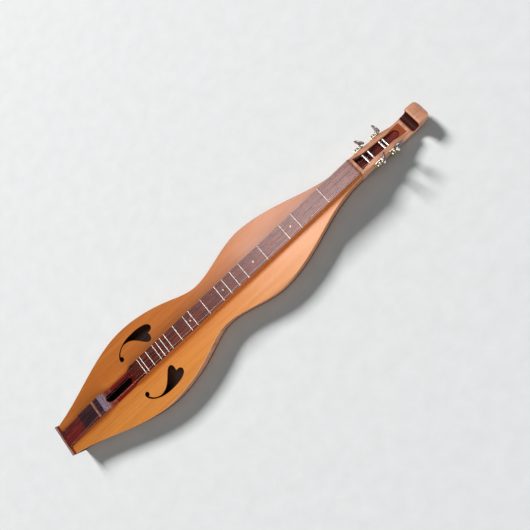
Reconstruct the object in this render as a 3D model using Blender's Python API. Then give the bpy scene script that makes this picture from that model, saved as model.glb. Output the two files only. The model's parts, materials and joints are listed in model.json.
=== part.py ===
"""Mountain dulcimer: hourglass body, one fretboard, four strings, four geared tuners.

Frame: +X runs from the tail to the peghead, +Y is the melody side, +Z is up, and the
instrument lies on its back at z = 0. Lengths along the instrument are stations measured
from the theoretical bridge line, and the parent empty puts the middle of the instrument
over the world's origin. Every length is in metres.
"""
import math

import bmesh
import bpy
from mathutils import Matrix, Vector

# ---- driving dimensions ----
SCALE_LENGTH = 0.711
TAIL_END = -0.117
HEAD_END = 0.883
GAP = 0.0002

# ---- body ----
BACK_THICKNESS = 0.003
SOUNDBOARD_TOP = 0.036
SOUNDBOARD_THICKNESS = 0.003
SIDE_THICKNESS = 0.0022
OVERHANG = 0.0015
CAP_THICKNESS = 0.0035
CAP_TOP = 0.0445
CAP_OVERLAP = 0.001
CAP_EDGE = 0.0008
NECK_JOINT = 0.713
TAIL_BLOCK_LENGTH = 0.022
HEEL_LENGTH = 0.040
BRACE_STATION = 0.318
BRACE_WIDTH = 0.012
BRACE_HEIGHT = 0.009
BRACE_TIP_HEIGHT = 0.003
BRACE_TAPER = 0.012
BRACE_END_GAP = 0.001
CUTTER_MARGIN = 0.002
BODY_START = TAIL_END + CAP_THICKNESS + GAP
SIDE_BOTTOM = BACK_THICKNESS + GAP
SIDE_TOP = SOUNDBOARD_TOP - SOUNDBOARD_THICKNESS - GAP

# Half width of the body: station, half width, slope.
BODY_CURVE = [
    (-0.118, 0.0350, 0.155),
    (0.128, 0.0948, 0.000),
    (0.258, 0.0685, -0.385),
    (0.322, 0.0508, 0.000),
    (0.455, 0.0744, 0.000),
    (0.575, 0.0502, -0.330),
    (0.665, 0.0245, -0.170),
    (0.715, 0.0203, 0.000),
]

# Sound hole on the +Y side: a ball, then the outline's knots with the handles between them.
HOLE_BALL = (0.0960, 0.0462)
HOLE_BALL_RADIUS = 0.0054
HOLE_BALL_ARC = (172, 442)
HOLE_CURVE = [
    ((0.0985, 0.0560), (0.1085, 0.0668), (0.1215, 0.0668)),
    ((0.1490, 0.0662), (0.1590, 0.0335), (0.1715, 0.0337)),
    ((0.1800, 0.0337), (0.1800, 0.0430), (0.1786, 0.0502)),
    ((0.1860, 0.0492), (0.1921, 0.0515), (0.1921, 0.0575)),
    ((0.1921, 0.0700), (0.1650, 0.0746), (0.1400, 0.0736)),
]
HOLE_RETURN = ((0.1120, 0.0726), (0.0925, 0.0600))
HOLE_STEPS = 10
SLOT_STEPS = 10
BODY_STATIONS = 66
BLOCK_STATIONS = 5
HEEL_STATIONS = 6
SHARP_ANGLE = 32
EDGE_ANGLE = 50
EDGE_SEGMENTS = 2
MERGE = 1e-6

# ---- fretboard ----
FRETBOARD_HALF_WIDTH = 0.0184
FRETBOARD_TOP = 0.056
OVERLAY_THICKNESS = 0.004
OVERLAY_END = 0.709
BASE_TOP = FRETBOARD_TOP - OVERLAY_THICKNESS - GAP
BASE_BOTTOM = SOUNDBOARD_TOP + GAP
HOLLOW_FLOOR = 0.0395
HOLLOW_TAIL = (0.0095, 0.037)
HOLLOW_HEAD = (0.114, 0.085)
HOLLOW_HALVINGS = 40
# Height of the strum hollow: station, height, slope. The tail end starts as a flat bevel.
HOLLOW_CURVE = [
    (0.0095, 0.0560, -0.43),
    (0.0185, 0.0520, -0.46),
    (0.0370, 0.0395, 0.00),
    (0.0850, 0.0395, 0.00),
    (0.1140, 0.0560, 0.00),
]
TAIL_DECK_TOP = 0.0442
TAIL_DECK_RAMP = (-0.049, -0.095)
PLATFORM_START = -0.049
PLATFORM_SHOULDER = -0.020
PLATFORM_DROP = 0.0022
STRUM_SLOT = (0.022, 0.091, 0.0086)
HOLLOW_STEPS = 13
HOLLOW_EDGE_STEPS = 7
TAIL_DECK_STEPS = 11
PLATFORM_STEPS = 7

# ---- frets ----
FRET_SEMITONES = [2, 4, 5, 7, 9, 10, 11, 12, 14, 16, 17, 19, 21, 22, 23, 24, 26, 28, 29]
FRET_HALF_LENGTH = 0.0181
CROWN_HALF_WIDTH = 0.0012
CROWN_HEIGHT = 0.00105
CROWN_LIFT = 0.0001
CROWN_STEPS = 6
TANG_HALF_WIDTH = 0.00028
TANG_DEPTH = 0.0019
FRET_SLOT_HALF_WIDTH = 0.00045
FRET_SLOT_DEPTH = 0.0022

# ---- nut, bridge and strings ----
BRIDGE_STATION = -0.0035
BRIDGE_HALF_THICKNESS = 0.0017
BRIDGE_TOP = 0.0604
BRIDGE_SEAT = 0.0542
NUT_FRONT = 0.7092
NUT_CREST = SCALE_LENGTH
NUT_BACK = 0.713
NUT_TOP = 0.0579
NUT_FRONT_CHAMFER = (0.0008, 0.0009)
NUT_BACK_SLOPE = ((0.0010, 0.0007), (0.0020, 0.0019))
BRIDGE_SHOULDER = 0.0011
BRIDGE_ROUND = 0.0002
STRING_SEAT = 0.0002
GROOVE_REACH = 0.006
GROOVE_CLEARANCE = 0.00014
GROOVE_SIDES = 8
HITCH_STATION = -0.105
HITCH_HEIGHT = 0.048
HITCH_RADIUS = 0.0011
HITCH_DEPTH = 0.006
HITCH_FIT = 0.0001
HITCH_CLEAR = 0.0012
HITCH_RIM = 0.0007
HITCH_RIM_STEPS = (0.0002, 0.0006, 0.0010)
HITCH_TURN_START = 330
HITCH_TURN_STEP = 24
HITCH_TURN_POINTS = 11
HITCH_SEGMENTS = 16
# Radius, then Y at the hitch pin, bridge, nut and post. String n goes to tuner n.
STRINGS = [
    (0.00015, 0.0155, 0.0148, 0.0142, 0.0075),
    (0.00015, 0.0105, 0.0103, 0.0100, 0.0040),
    (0.00018, 0.0000, 0.0000, 0.0000, -0.0015),
    (0.00028, -0.0165, -0.0155, -0.0145, -0.0075),
]

# ---- peghead: station, value, slope ----
HEAD_START = NECK_JOINT + 0.0005
HEAD_TOP_CURVE = [
    (0.7135, 0.0525, -0.42),
    (0.7500, 0.0435, -0.25),
    (0.7950, 0.0335, -0.24),
    (0.8250, 0.0262, -0.15),
    (0.8380, 0.0250, 0.00),
    (0.8570, 0.0360, 0.00),
    (0.8680, 0.0352, -0.16),
    (0.8830, 0.0225, -2.40),
]
HEAD_BOTTOM_CURVE = [
    (0.7135, 0.0020, 0.42),
    (0.7480, 0.0100, 0.00),
    (0.7900, 0.0058, -0.14),
    (0.8320, 0.0008, 0.00),
    (0.8520, 0.0028, 0.25),
    (0.8700, 0.0090, 0.50),
    (0.8830, 0.0185, 1.60),
]
HEAD_WIDTH_CURVE = [
    (0.7135, 0.0200, 0.00),
    (0.7500, 0.0202, 0.00),
    (0.8680, 0.0202, 0.00),
    (0.8830, 0.0110, -2.20),
]
HEAD_TOP_WIDTH_CURVE = [
    (0.7135, 0.0194, 0.00),
    (0.7800, 0.0196, 0.00),
    (0.8080, 0.0166, -0.13),
    (0.8280, 0.0150, 0.00),
    (0.8380, 0.0150, 0.05),
    (0.8570, 0.0198, 0.05),
    (0.8680, 0.0195, -0.02),
    (0.8830, 0.0100, -2.20),
]
HEAD_FLANK_CURVE = [
    (0.7135, 0.0015, 0.00),
    (0.7900, 0.0015, 0.00),
    (0.8300, 0.0180, 0.00),
    (0.8380, 0.0180, 0.00),
    (0.8570, 0.0040, 0.00),
    (0.8830, 0.0020, 0.00),
]
HEAD_ROUND_START = 0.868
HEAD_CORNER = 0.004
HEAD_EDGE = 0.0008
HEAD_CORNER_SHARE = 0.3
HEAD_EDGE_SHARE = 0.1
HEAD_FLANK_SHARE = 0.6
HEAD_STATIONS = 34
HEAD_ROUND_STEPS = 6
HEAD_CORNER_STEPS = 3
HEAD_FLANK_STEPS = 4
HEEL_OVERLAP = 0.003
HEAD_CLEAR_TOP = 0.070
HEAD_CLEAR_SIDE = 0.030
# Recess before the scroll: station, depth below the top, half width.
RECESS = [
    (0.8010, -0.0005, 0.0098),
    (0.8090, 0.0024, 0.0106),
    (0.8310, 0.0029, 0.0117),
]
POCKET_START = 0.7200
POCKET_FLOOR = 0.017
POCKET_CURVE = [
    (0.7200, 0.0152, -0.22),
    (0.7420, 0.0112, -0.10),
    (0.7780, 0.0102, -0.02),
    (0.8120, 0.0085, -0.05),
]
GOUGE_STATION = 0.8462
GOUGE_HEIGHT = 0.0225
GOUGE_RADIUS = 0.0092
GOUGE_CLEAR_TOP = 0.050
GOUGE_LEAN = 0.0062
GOUGE_STEPS = 12
POCKET_STATIONS = 16
POCKET_ROUND_STEPS = 10

# ---- tuners: post station, post height, side, turn of the button ----
TUNERS = [
    (0.7400, 0.0360, 1, -55.0),
    (0.7805, 0.0285, 1, -80.0),
    (0.7890, 0.0262, -1, -8.0),
    (0.7530, 0.0335, -1, 45.0),
]
POST_RADIUS = 0.0030
POST_HOLE_RADIUS = 0.0032
POST_FAR_END = 0.0150
POST_CHAMFER = 0.0004
COLLAR_STEP = 0.001
POST_CUTTER_END = 0.025
PLATE_HOLE = (0.015, 0.024)
WORM_BORE_REACH = 0.012
COIL_CLEARANCE = 0.0001
PLATE_INNER = 0.0205
PLATE_THICKNESS = 0.0012
PLATE_BACK = 0.0100
PLATE_FRONT = 0.0120
PLATE_HALF_HEIGHT = 0.0085
LUG_INNER = 0.0050
LUG_THICKNESS = 0.0012
LUG_HALF_WIDTH = 0.0032
LUG_REACH = 0.0033
WORM_RADIUS_GAP = 0.0001
GEAR_PLANE = 0.0260
GEAR_TEETH = 16
GEAR_PITCH_RADIUS = 0.0056
GEAR_TIP_RADIUS = 0.0062
GEAR_ROOT_RADIUS = 0.0047
GEAR_HALF_THICKNESS = 0.0013
GEAR_BORE_RADIUS = 0.00255
TOOTH_TIP_HALF = 0.00025
TOOTH_ROOT_HALF = 0.00067
STUB_RADIUS = 0.00245
STUB_END = 0.0282
WORM_PITCH_RADIUS = 0.0029
WORM_ROOT_RADIUS = 0.0022
WORM_CREST_RADIUS = 0.00355
WORM_SHAFT_RADIUS = 0.0019
WORM_HALF_LENGTH = 0.0045
THREAD_CREST_HALF = 0.000175
THREAD_ROOT_HALF = 0.00050
WORM_OFFSET = GEAR_PITCH_RADIUS + WORM_PITCH_RADIUS
WORM_LEAD = 2.0 * math.pi * GEAR_PITCH_RADIUS / GEAR_TEETH
SHAFT_BELOW = 0.0072
SHAFT_ABOVE = 0.0200
BUTTON_BASE = 0.0160
BUTTON_SOCKET = 0.0045
BUTTON_SOCKET_FIT = 0.0001
BUTTON_SOCKET_MOUTH = 0.001
BUTTON_SQUARENESS = 0.8
BUTTON_SIDES = 24
SOCKET_SEGMENTS = 20
POST_SEGMENTS = 24
WORM_COLUMNS = 20
WORM_TURNS = 4
THREAD_FADE = WORM_LEAD / 4
# Height over the button's base, half length, half thickness.
BUTTON_SECTIONS = [
    (0.0000, 0.0026, 0.0026),
    (0.0005, 0.0029, 0.0029),
    (0.0020, 0.0030, 0.0029),
    (0.0032, 0.0056, 0.0026),
    (0.0048, 0.0086, 0.0023),
    (0.0068, 0.0100, 0.0021),
    (0.0090, 0.0103, 0.0020),
    (0.0112, 0.0096, 0.0019),
    (0.0132, 0.0078, 0.0017),
    (0.0146, 0.0050, 0.0013),
    (0.0152, 0.0022, 0.0007),
]

# Colour, roughness, metallic.
MATERIALS = {
    "top_wood": ((0.60, 0.27, 0.07, 1.0), 0.40, 0.0),
    "body_wood": ((0.30, 0.12, 0.05, 1.0), 0.42, 0.0),
    "head_wood": ((0.52, 0.24, 0.11, 1.0), 0.42, 0.0),
    "base_wood": ((0.19, 0.045, 0.025, 1.0), 0.40, 0.0),
    "overlay_wood": ((0.085, 0.032, 0.026, 1.0), 0.38, 0.0),
    "bridge_wood": ((0.46, 0.21, 0.13, 1.0), 0.45, 0.0),
    "inner_wood": ((0.55, 0.38, 0.20, 1.0), 0.60, 0.0),
    "nickel": ((0.80, 0.78, 0.74, 1.0), 0.22, 1.0),
    "steel": ((0.72, 0.72, 0.72, 1.0), 0.25, 1.0),
    "brass": ((0.72, 0.54, 0.24, 1.0), 0.30, 1.0),
}


# ---- helpers ----
def hermite(stations, x):
    """Value at x of the smooth curve through (station, value, slope) points."""
    low = stations[0]
    high = stations[-1]
    for first, second in zip(stations, stations[1:]):
        if x <= second[0]:
            low, high = first, second
            break
    else:
        return high[1]
    span = high[0] - low[0]
    t = max(0.0, (x - low[0]) / span)
    rise = (2 * t - 3) * t * t + 1
    start_slope = ((t - 2) * t + 1) * t * span * low[2]
    end_slope = (t - 1) * t * t * span * high[2]
    return rise * low[1] + (1 - rise) * high[1] + start_slope + end_slope


def spread(first, last, count):
    """Evenly spaced values from first to last, both included."""
    return [first + (last - first) * i / (count - 1) for i in range(count)]


def ease(t):
    """Cosine blend from 0 to 1."""
    return (1 - math.cos(math.pi * t)) / 2


def body_half_width(x):
    return hermite(BODY_CURVE, x)


def inset_half_width(x, inset):
    """Half width of the body outline after an inset square to the curve."""
    step = 0.001
    slope = (body_half_width(x + step) - body_half_width(x - step)) / (2 * step)
    return body_half_width(x) - inset * math.sqrt(1 + slope * slope)


def bezier(start, first, second, end, count):
    """Points of a cubic curve, without its first point."""
    points = []
    for i in range(1, count + 1):
        t = i / count
        s = 1 - t
        weights = (s * s * s, 3 * s * s * t, 3 * s * t * t, t * t * t)
        controls = (start, first, second, end)
        points.append(tuple(sum(w * c[k] for w, c in zip(weights, controls)) for k in range(2)))
    return points


def make_material(name):
    colour, roughness, metallic = MATERIALS[name]
    material = bpy.data.materials.new(name)
    material.use_nodes = True
    shader = material.node_tree.nodes["Principled BSDF"]
    shader.inputs["Base Color"].default_value = colour
    shader.inputs["Roughness"].default_value = roughness
    shader.inputs["Metallic"].default_value = metallic
    material.diffuse_color = colour
    return material


def add_object(name, data, material, parent, location=(0, 0, 0), smooth=False):
    """Link a mesh or curve as a named object with its own material."""
    obj = bpy.data.objects.new(name, data)
    bpy.context.collection.objects.link(obj)
    obj.parent = parent
    obj.location = location
    if material:
        finish = make_material(material)
        finish.name = name + "_" + material
        data.materials.append(finish)
    if smooth:
        data.shade_smooth()
        data.set_sharp_from_angle(angle=math.radians(SHARP_ANGLE))
    return obj


def mesh_from(bm, name):
    """Turn a bmesh into a mesh with outward normals."""
    bmesh.ops.recalc_face_normals(bm, faces=bm.faces)
    mesh = bpy.data.meshes.new(name)
    bm.to_mesh(mesh)
    bm.free()
    return mesh


def prism_mesh(name, outline, low, high, plane="XY"):
    """Extrude a closed outline between two levels of the axis square to its plane."""
    bm = bmesh.new()
    if plane == "XY":
        corners = [Vector((a, b, low)) for a, b in outline]
        move = Vector((0, 0, high - low))
    else:
        corners = [Vector((a, low, b)) for a, b in outline]
        move = Vector((0, high - low, 0))
    face = bm.faces.new([bm.verts.new(corner) for corner in corners])
    extruded = bmesh.ops.extrude_face_region(bm, geom=[face])
    verts = [item for item in extruded["geom"] if isinstance(item, bmesh.types.BMVert)]
    bmesh.ops.translate(bm, verts=verts, vec=move)
    return mesh_from(bm, name)


def loft_mesh(name, sections):
    """Skin a list of closed sections that have equal point counts, and cap both ends."""
    bm = bmesh.new()
    rings = [[bm.verts.new(point) for point in section] for section in sections]
    for ring, following in zip(rings, rings[1:]):
        for i in range(len(ring)):
            j = (i + 1) % len(ring)
            bm.faces.new((ring[i], ring[j], following[j], following[i]))
    bm.faces.new(rings[0])
    bm.faces.new(rings[-1])
    return mesh_from(bm, name)


def lathe_mesh(name, profile, segments, axis="Z"):
    """Turn a profile of (radius, height) steps about an axis, with flat ends."""
    turn = Matrix.Identity(3)
    if axis == "Y":
        turn = Matrix.Rotation(math.radians(-90), 3, "X")
    sections = []
    for radius, height in profile:
        ring = []
        for i in range(segments):
            angle = 2 * math.pi * i / segments
            point = Vector((radius * math.cos(angle), radius * math.sin(angle), height))
            ring.append(turn @ point)
        sections.append(ring)
    return loft_mesh(name, sections)


def box_mesh(name, low, high):
    outline = [(low[0], low[1]), (high[0], low[1]), (high[0], high[1]), (low[0], high[1])]
    return prism_mesh(name, outline, low[2], high[2])


def add_cutter(name, data, parent, location=(0, 0, 0)):
    """A hidden tool for a boolean."""
    cutter = add_object(name, data, None, parent, location)
    cutter.hide_render = True
    cutter.display_type = "WIRE"
    return cutter


def combine(obj, tool, operation):
    modifier = obj.modifiers.new(tool.name, "BOOLEAN")
    modifier.operation = operation
    modifier.solver = "EXACT"
    modifier.object = tool


def add_bevel(obj, width):
    modifier = obj.modifiers.new("edge", "BEVEL")
    modifier.width = width
    modifier.segments = EDGE_SEGMENTS
    modifier.limit_method = "ANGLE"
    modifier.angle_limit = math.radians(EDGE_ANGLE)


# ---- body ----
def body_outline(inset, start, end, count=BODY_STATIONS):
    """Closed outline of the whole hourglass."""
    stations = spread(start, end, count)
    left = [(x, inset_half_width(x, inset)) for x in stations]
    right = [(x, -y) for x, y in reversed(left)]
    return left + right


def sound_hole_outline(side):
    """Flourish heart: a ball, a long tail and two lobes."""
    first, last = HOLE_BALL_ARC
    points = []
    for i in range(HOLE_STEPS + 1):
        angle = math.radians(first + (last - first) * i / HOLE_STEPS)
        x = HOLE_BALL[0] + HOLE_BALL_RADIUS * math.cos(angle)
        points.append((x, HOLE_BALL[1] + HOLE_BALL_RADIUS * math.sin(angle)))
    end = points[0]
    for first_handle, second_handle, knot in HOLE_CURVE:
        points += bezier(points[-1], first_handle, second_handle, knot, HOLE_STEPS)
    points += bezier(points[-1], *HOLE_RETURN, end, HOLE_STEPS)[:-1]
    return [(x, side * y) for x, y in points]


def slot_outline(start, end, half_width):
    """Stadium that runs along X."""
    points = []
    for centre, first in ((end - half_width, -90), (start + half_width, 90)):
        for angle in spread(math.radians(first), math.radians(first + 180), SLOT_STEPS + 1):
            x = centre + half_width * math.cos(angle)
            points.append((x, half_width * math.sin(angle)))
    return points


def make_soundboard(parent):
    outline = body_outline(0, BODY_START, NECK_JOINT)
    bottom = SOUNDBOARD_TOP - SOUNDBOARD_THICKNESS
    mesh = prism_mesh("soundboard", outline, bottom, SOUNDBOARD_TOP)
    board = add_object("soundboard", mesh, "top_wood", parent)
    low = bottom - CUTTER_MARGIN
    high = SOUNDBOARD_TOP + CUTTER_MARGIN
    tools = [("sound_hole_cutter_left", sound_hole_outline(1)),
             ("sound_hole_cutter_right", sound_hole_outline(-1)),
             ("strum_slot_cutter", slot_outline(*STRUM_SLOT))]
    for name, shape in tools:
        combine(board, add_cutter(name, prism_mesh(name, shape, low, high), parent), "DIFFERENCE")


def make_back(parent):
    outline = body_outline(0, BODY_START, NECK_JOINT)
    mesh = prism_mesh("back_panel", outline, 0, BACK_THICKNESS)
    add_object("back_panel", mesh, "body_wood", parent)


def make_side(name, side, parent):
    stations = spread(BODY_START, NECK_JOINT, BODY_STATIONS)
    outer = [(x, side * inset_half_width(x, OVERHANG)) for x in stations]
    inset = OVERHANG + SIDE_THICKNESS
    inner = [(x, side * inset_half_width(x, inset)) for x in reversed(stations)]
    mesh = prism_mesh(name, outer + inner, SIDE_BOTTOM, SIDE_TOP)
    add_object(name, mesh, "body_wood", parent, smooth=True)


def make_tail(parent):
    inset = OVERHANG + SIDE_THICKNESS + GAP
    outline = body_outline(inset, BODY_START, BODY_START + TAIL_BLOCK_LENGTH, BLOCK_STATIONS)
    block = prism_mesh("tail_block", outline, SIDE_BOTTOM, SIDE_TOP)
    add_object("tail_block", block, "inner_wood", parent)
    half = body_half_width(BODY_START) + CAP_OVERLAP
    low = (TAIL_END, -half, 0)
    high = (TAIL_END + CAP_THICKNESS, half, CAP_TOP)
    cap = add_object("tail_cap", box_mesh("tail_cap", low, high), "base_wood", parent)
    add_bevel(cap, CAP_EDGE)


def make_brace(parent):
    half = inset_half_width(BRACE_STATION, OVERHANG + SIDE_THICKNESS) - BRACE_END_GAP
    bottom = SIDE_BOTTOM
    top = bottom + BRACE_HEIGHT
    tip = bottom + BRACE_TIP_HEIGHT
    outline = [(-half, bottom), (half, bottom), (half, tip), (half - BRACE_TAPER, top),
               (BRACE_TAPER - half, top), (-half, tip)]
    sections = []
    for x in (BRACE_STATION - BRACE_WIDTH / 2, BRACE_STATION + BRACE_WIDTH / 2):
        sections.append([Vector((x, y, z)) for y, z in outline])
    add_object("back_brace", loft_mesh("back_brace", sections), "inner_wood", parent)


# ---- fretboard ----
def hollow_station(ends, level):
    """Station at which one end of the strum hollow passes a level."""
    rim, foot = ends
    for _ in range(HOLLOW_HALVINGS):
        middle = (rim + foot) / 2
        if hermite(HOLLOW_CURVE, middle) >= level:
            rim = middle
        else:
            foot = middle
    return rim


def hollow_points(ends, top, bottom, count):
    """One end of the strum hollow between two levels, from its top down."""
    first = hollow_station(ends, top)
    last = hollow_station(ends, bottom)
    return [(x, hermite(HOLLOW_CURVE, x)) for x in spread(first, last, count)]


def tail_deck_points():
    """Ramp from the bridge platform down to the deck where the strings are hitched."""
    start, end = TAIL_DECK_RAMP
    points = []
    for t in spread(0.0, 1.0, TAIL_DECK_STEPS):
        x = start + (end - start) * t
        points.append((x, BASE_TOP - (BASE_TOP - TAIL_DECK_TOP) * math.sin(math.pi * t / 2)))
    return points


def make_fretboard_base(parent):
    outline = [(BODY_START, BASE_BOTTOM), (NUT_BACK, BASE_BOTTOM), (NUT_BACK, BASE_TOP)]
    outline += hollow_points(HOLLOW_HEAD, BASE_TOP, HOLLOW_FLOOR, HOLLOW_STEPS)
    outline += reversed(hollow_points(HOLLOW_TAIL, BASE_TOP, HOLLOW_FLOOR, HOLLOW_STEPS))
    outline += tail_deck_points()
    outline.append((BODY_START, TAIL_DECK_TOP))
    half = FRETBOARD_HALF_WIDTH
    mesh = prism_mesh("fretboard_base", outline, -half, half, "XZ")
    base = add_object("fretboard_base", mesh, "base_wood", parent)
    shape = prism_mesh("base_slot_cutter", slot_outline(*STRUM_SLOT), SOUNDBOARD_TOP, BASE_TOP)
    combine(base, add_cutter("base_slot_cutter", shape, parent), "DIFFERENCE")
    for index, string in enumerate(STRINGS, 1):
        name = "hitch_hole_cutter_%d" % index
        bore = HITCH_RADIUS + HITCH_FIT
        hole = [(bore, TAIL_DECK_TOP - HITCH_DEPTH - GAP), (bore, BASE_TOP)]
        centre = (HITCH_STATION, hitch_y(string), 0)
        combine(base, add_cutter(name, lathe_mesh(name, hole, HITCH_SEGMENTS), parent, centre), "DIFFERENCE")


def fret_stations():
    return [SCALE_LENGTH * 2 ** (-semitones / 12) for semitones in FRET_SEMITONES]


def make_fretboard_overlay(parent):
    bottom = FRETBOARD_TOP - OVERLAY_THICKNESS
    outline = [(OVERLAY_END, bottom), (OVERLAY_END, FRETBOARD_TOP)]
    for x in fret_stations():
        outline.append((x + FRET_SLOT_HALF_WIDTH, FRETBOARD_TOP))
        outline.append((x + FRET_SLOT_HALF_WIDTH, FRETBOARD_TOP - FRET_SLOT_DEPTH))
        outline.append((x - FRET_SLOT_HALF_WIDTH, FRETBOARD_TOP - FRET_SLOT_DEPTH))
        outline.append((x - FRET_SLOT_HALF_WIDTH, FRETBOARD_TOP))
    outline += hollow_points(HOLLOW_HEAD, FRETBOARD_TOP, bottom, HOLLOW_EDGE_STEPS)
    half = FRETBOARD_HALF_WIDTH
    mesh = prism_mesh("fretboard_overlay", outline, -half, half, "XZ")
    add_object("fretboard_overlay", mesh, "overlay_wood", parent)


def make_tail_overlay(parent):
    bottom = FRETBOARD_TOP - OVERLAY_THICKNESS
    outline = [(PLATFORM_START, bottom)]
    for x in spread(PLATFORM_START, PLATFORM_SHOULDER, PLATFORM_STEPS):
        reach = (PLATFORM_SHOULDER - x) / (PLATFORM_SHOULDER - PLATFORM_START)
        outline.append((x, FRETBOARD_TOP - PLATFORM_DROP * reach * reach))
    half_slot = BRIDGE_HALF_THICKNESS + GAP
    outline.append((BRIDGE_STATION - half_slot, FRETBOARD_TOP))
    outline.append((BRIDGE_STATION - half_slot, BRIDGE_SEAT))
    outline.append((BRIDGE_STATION + half_slot, BRIDGE_SEAT))
    outline.append((BRIDGE_STATION + half_slot, FRETBOARD_TOP))
    outline += hollow_points(HOLLOW_TAIL, FRETBOARD_TOP, bottom, HOLLOW_EDGE_STEPS)
    half = FRETBOARD_HALF_WIDTH
    mesh = prism_mesh("tail_overlay", outline, -half, half, "XZ")
    add_object("tail_overlay", mesh, "overlay_wood", parent)


def make_frets(parent):
    top = CROWN_LIFT
    crown = []
    for angle in spread(0.0, math.pi, CROWN_STEPS + 1):
        crown.append((CROWN_HALF_WIDTH * math.cos(angle), top + CROWN_HEIGHT * math.sin(angle)))
    tang = [(-TANG_HALF_WIDTH, top), (-TANG_HALF_WIDTH, -TANG_DEPTH),
            (TANG_HALF_WIDTH, -TANG_DEPTH), (TANG_HALF_WIDTH, top)]
    for number, x in enumerate(fret_stations(), 1):
        name = "fret_%02d" % number
        mesh = prism_mesh(name, crown + tang, -FRET_HALF_LENGTH, FRET_HALF_LENGTH, "XZ")
        add_object(name, mesh, "nickel", parent, (x, 0, FRETBOARD_TOP), smooth=True)


# ---- nut, bridge and strings ----
def make_nut(parent):
    bottom = BASE_TOP + GAP
    run, drop = NUT_FRONT_CHAMFER
    outline = [(NUT_FRONT, bottom), (NUT_FRONT, NUT_TOP - drop), (NUT_FRONT + run, NUT_TOP),
               (NUT_CREST, NUT_TOP)]
    outline += [(NUT_CREST + run, NUT_TOP - drop) for run, drop in NUT_BACK_SLOPE]
    outline.append((NUT_BACK, bottom))
    half = FRETBOARD_HALF_WIDTH
    nut = add_object("nut", prism_mesh("nut", outline, -half, half, "XZ"), "body_wood", parent)
    for tool in string_groove_tools(parent, "nut"):
        combine(nut, tool, "DIFFERENCE")


def make_bridge(parent):
    half = BRIDGE_HALF_THICKNESS
    shoulder = BRIDGE_TOP - BRIDGE_SHOULDER
    brow = BRIDGE_TOP - BRIDGE_ROUND
    outline = [(BRIDGE_STATION - half, BRIDGE_SEAT + GAP), (BRIDGE_STATION - half, shoulder),
               (BRIDGE_STATION - half / 2, brow), (BRIDGE_STATION, BRIDGE_TOP),
               (BRIDGE_STATION + half / 2, brow), (BRIDGE_STATION + half, shoulder),
               (BRIDGE_STATION + half, BRIDGE_SEAT + GAP)]
    reach = FRETBOARD_HALF_WIDTH - GAP
    mesh = prism_mesh("bridge", outline, -reach, reach, "XZ")
    bridge = add_object("bridge", mesh, "bridge_wood", parent)
    for tool in string_groove_tools(parent, "bridge"):
        combine(bridge, tool, "DIFFERENCE")


def hitch_y(string):
    """Y of the pin, with the string passing on the pin's +Y side."""
    radius, tail_y = string[:2]
    return tail_y - loop_radius(radius)


def loop_radius(radius):
    return HITCH_RADIUS + radius + HITCH_FIT


def post_tangent(nut_point, string, tuner):
    """Where the string, coming from the nut, first touches its turns on the post."""
    post_x, post_z = tuner[:2]
    radius = POST_RADIUS + string[0] + COIL_CLEARANCE
    dx = post_x - nut_point.x
    dz = post_z - nut_point.z
    distance = math.hypot(dx, dz)
    direction = math.atan2(dz, dx) + math.asin(radius / distance)
    length = math.sqrt(distance * distance - radius * radius)
    x = nut_point.x + length * math.cos(direction)
    z = nut_point.z + length * math.sin(direction)
    return Vector((x, string[4], z))


def string_path(string, tuner):
    """Centre line, as the loop on the pin and the points on the bridge, nut and post."""
    radius, tail_y, bridge_y, nut_y = string[:4]
    around = loop_radius(radius)
    loop = []
    for i in range(HITCH_TURN_POINTS):
        angle = math.radians(HITCH_TURN_START - HITCH_TURN_STEP * i)
        y = tail_y - around + around * math.sin(angle)
        loop.append(Vector((HITCH_STATION + around * math.cos(angle), y, HITCH_HEIGHT)))
    bridge_point = Vector((BRIDGE_STATION, bridge_y, BRIDGE_TOP + radius - STRING_SEAT))
    nut_point = Vector((NUT_CREST, nut_y, NUT_TOP + radius - STRING_SEAT))
    return loop, bridge_point, nut_point, post_tangent(nut_point, string, tuner)


def tube_curve(name, points, radius):
    curve = bpy.data.curves.new(name, "CURVE")
    curve.dimensions = "3D"
    curve.bevel_depth = radius
    curve.bevel_resolution = 1
    curve.use_fill_caps = True
    spline = curve.splines.new("POLY")
    spline.points.add(len(points) - 1)
    for point, place in zip(spline.points, points):
        point.co = (place.x, place.y, place.z, 1)
    return curve


def string_groove_tools(parent, piece):
    """Oversize bars along the strings near one support, to cut their grooves."""
    tools = []
    for index, (string, tuner) in enumerate(zip(STRINGS, TUNERS), 1):
        loop, bridge_point, nut_point, post_point = string_path(string, tuner)
        if piece == "bridge":
            before, middle, after = loop[-1], bridge_point, nut_point
        else:
            before, middle, after = bridge_point, nut_point, post_point
        stretch = [middle + (before - middle).normalized() * GROOVE_REACH, middle,
                   middle + (after - middle).normalized() * GROOVE_REACH]
        sections = []
        for place in stretch:
            ring = []
            for i in range(GROOVE_SIDES):
                angle = 2 * math.pi * (i + 0.5) / GROOVE_SIDES
                size = string[0] + GROOVE_CLEARANCE
                offset = Vector((0, size * math.cos(angle), size * math.sin(angle)))
                ring.append(place + offset)
            sections.append(ring)
        name = "%s_groove_cutter_%d" % (piece, index)
        tools.append(add_cutter(name, loft_mesh(name, sections), parent))
    return tools


def make_strings(parent):
    for index, (string, tuner) in enumerate(zip(STRINGS, TUNERS), 1):
        name = "string_%d" % index
        loop, *supports = string_path(string, tuner)
        add_object(name, tube_curve(name, loop + supports, string[0]), "steel", parent)


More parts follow.
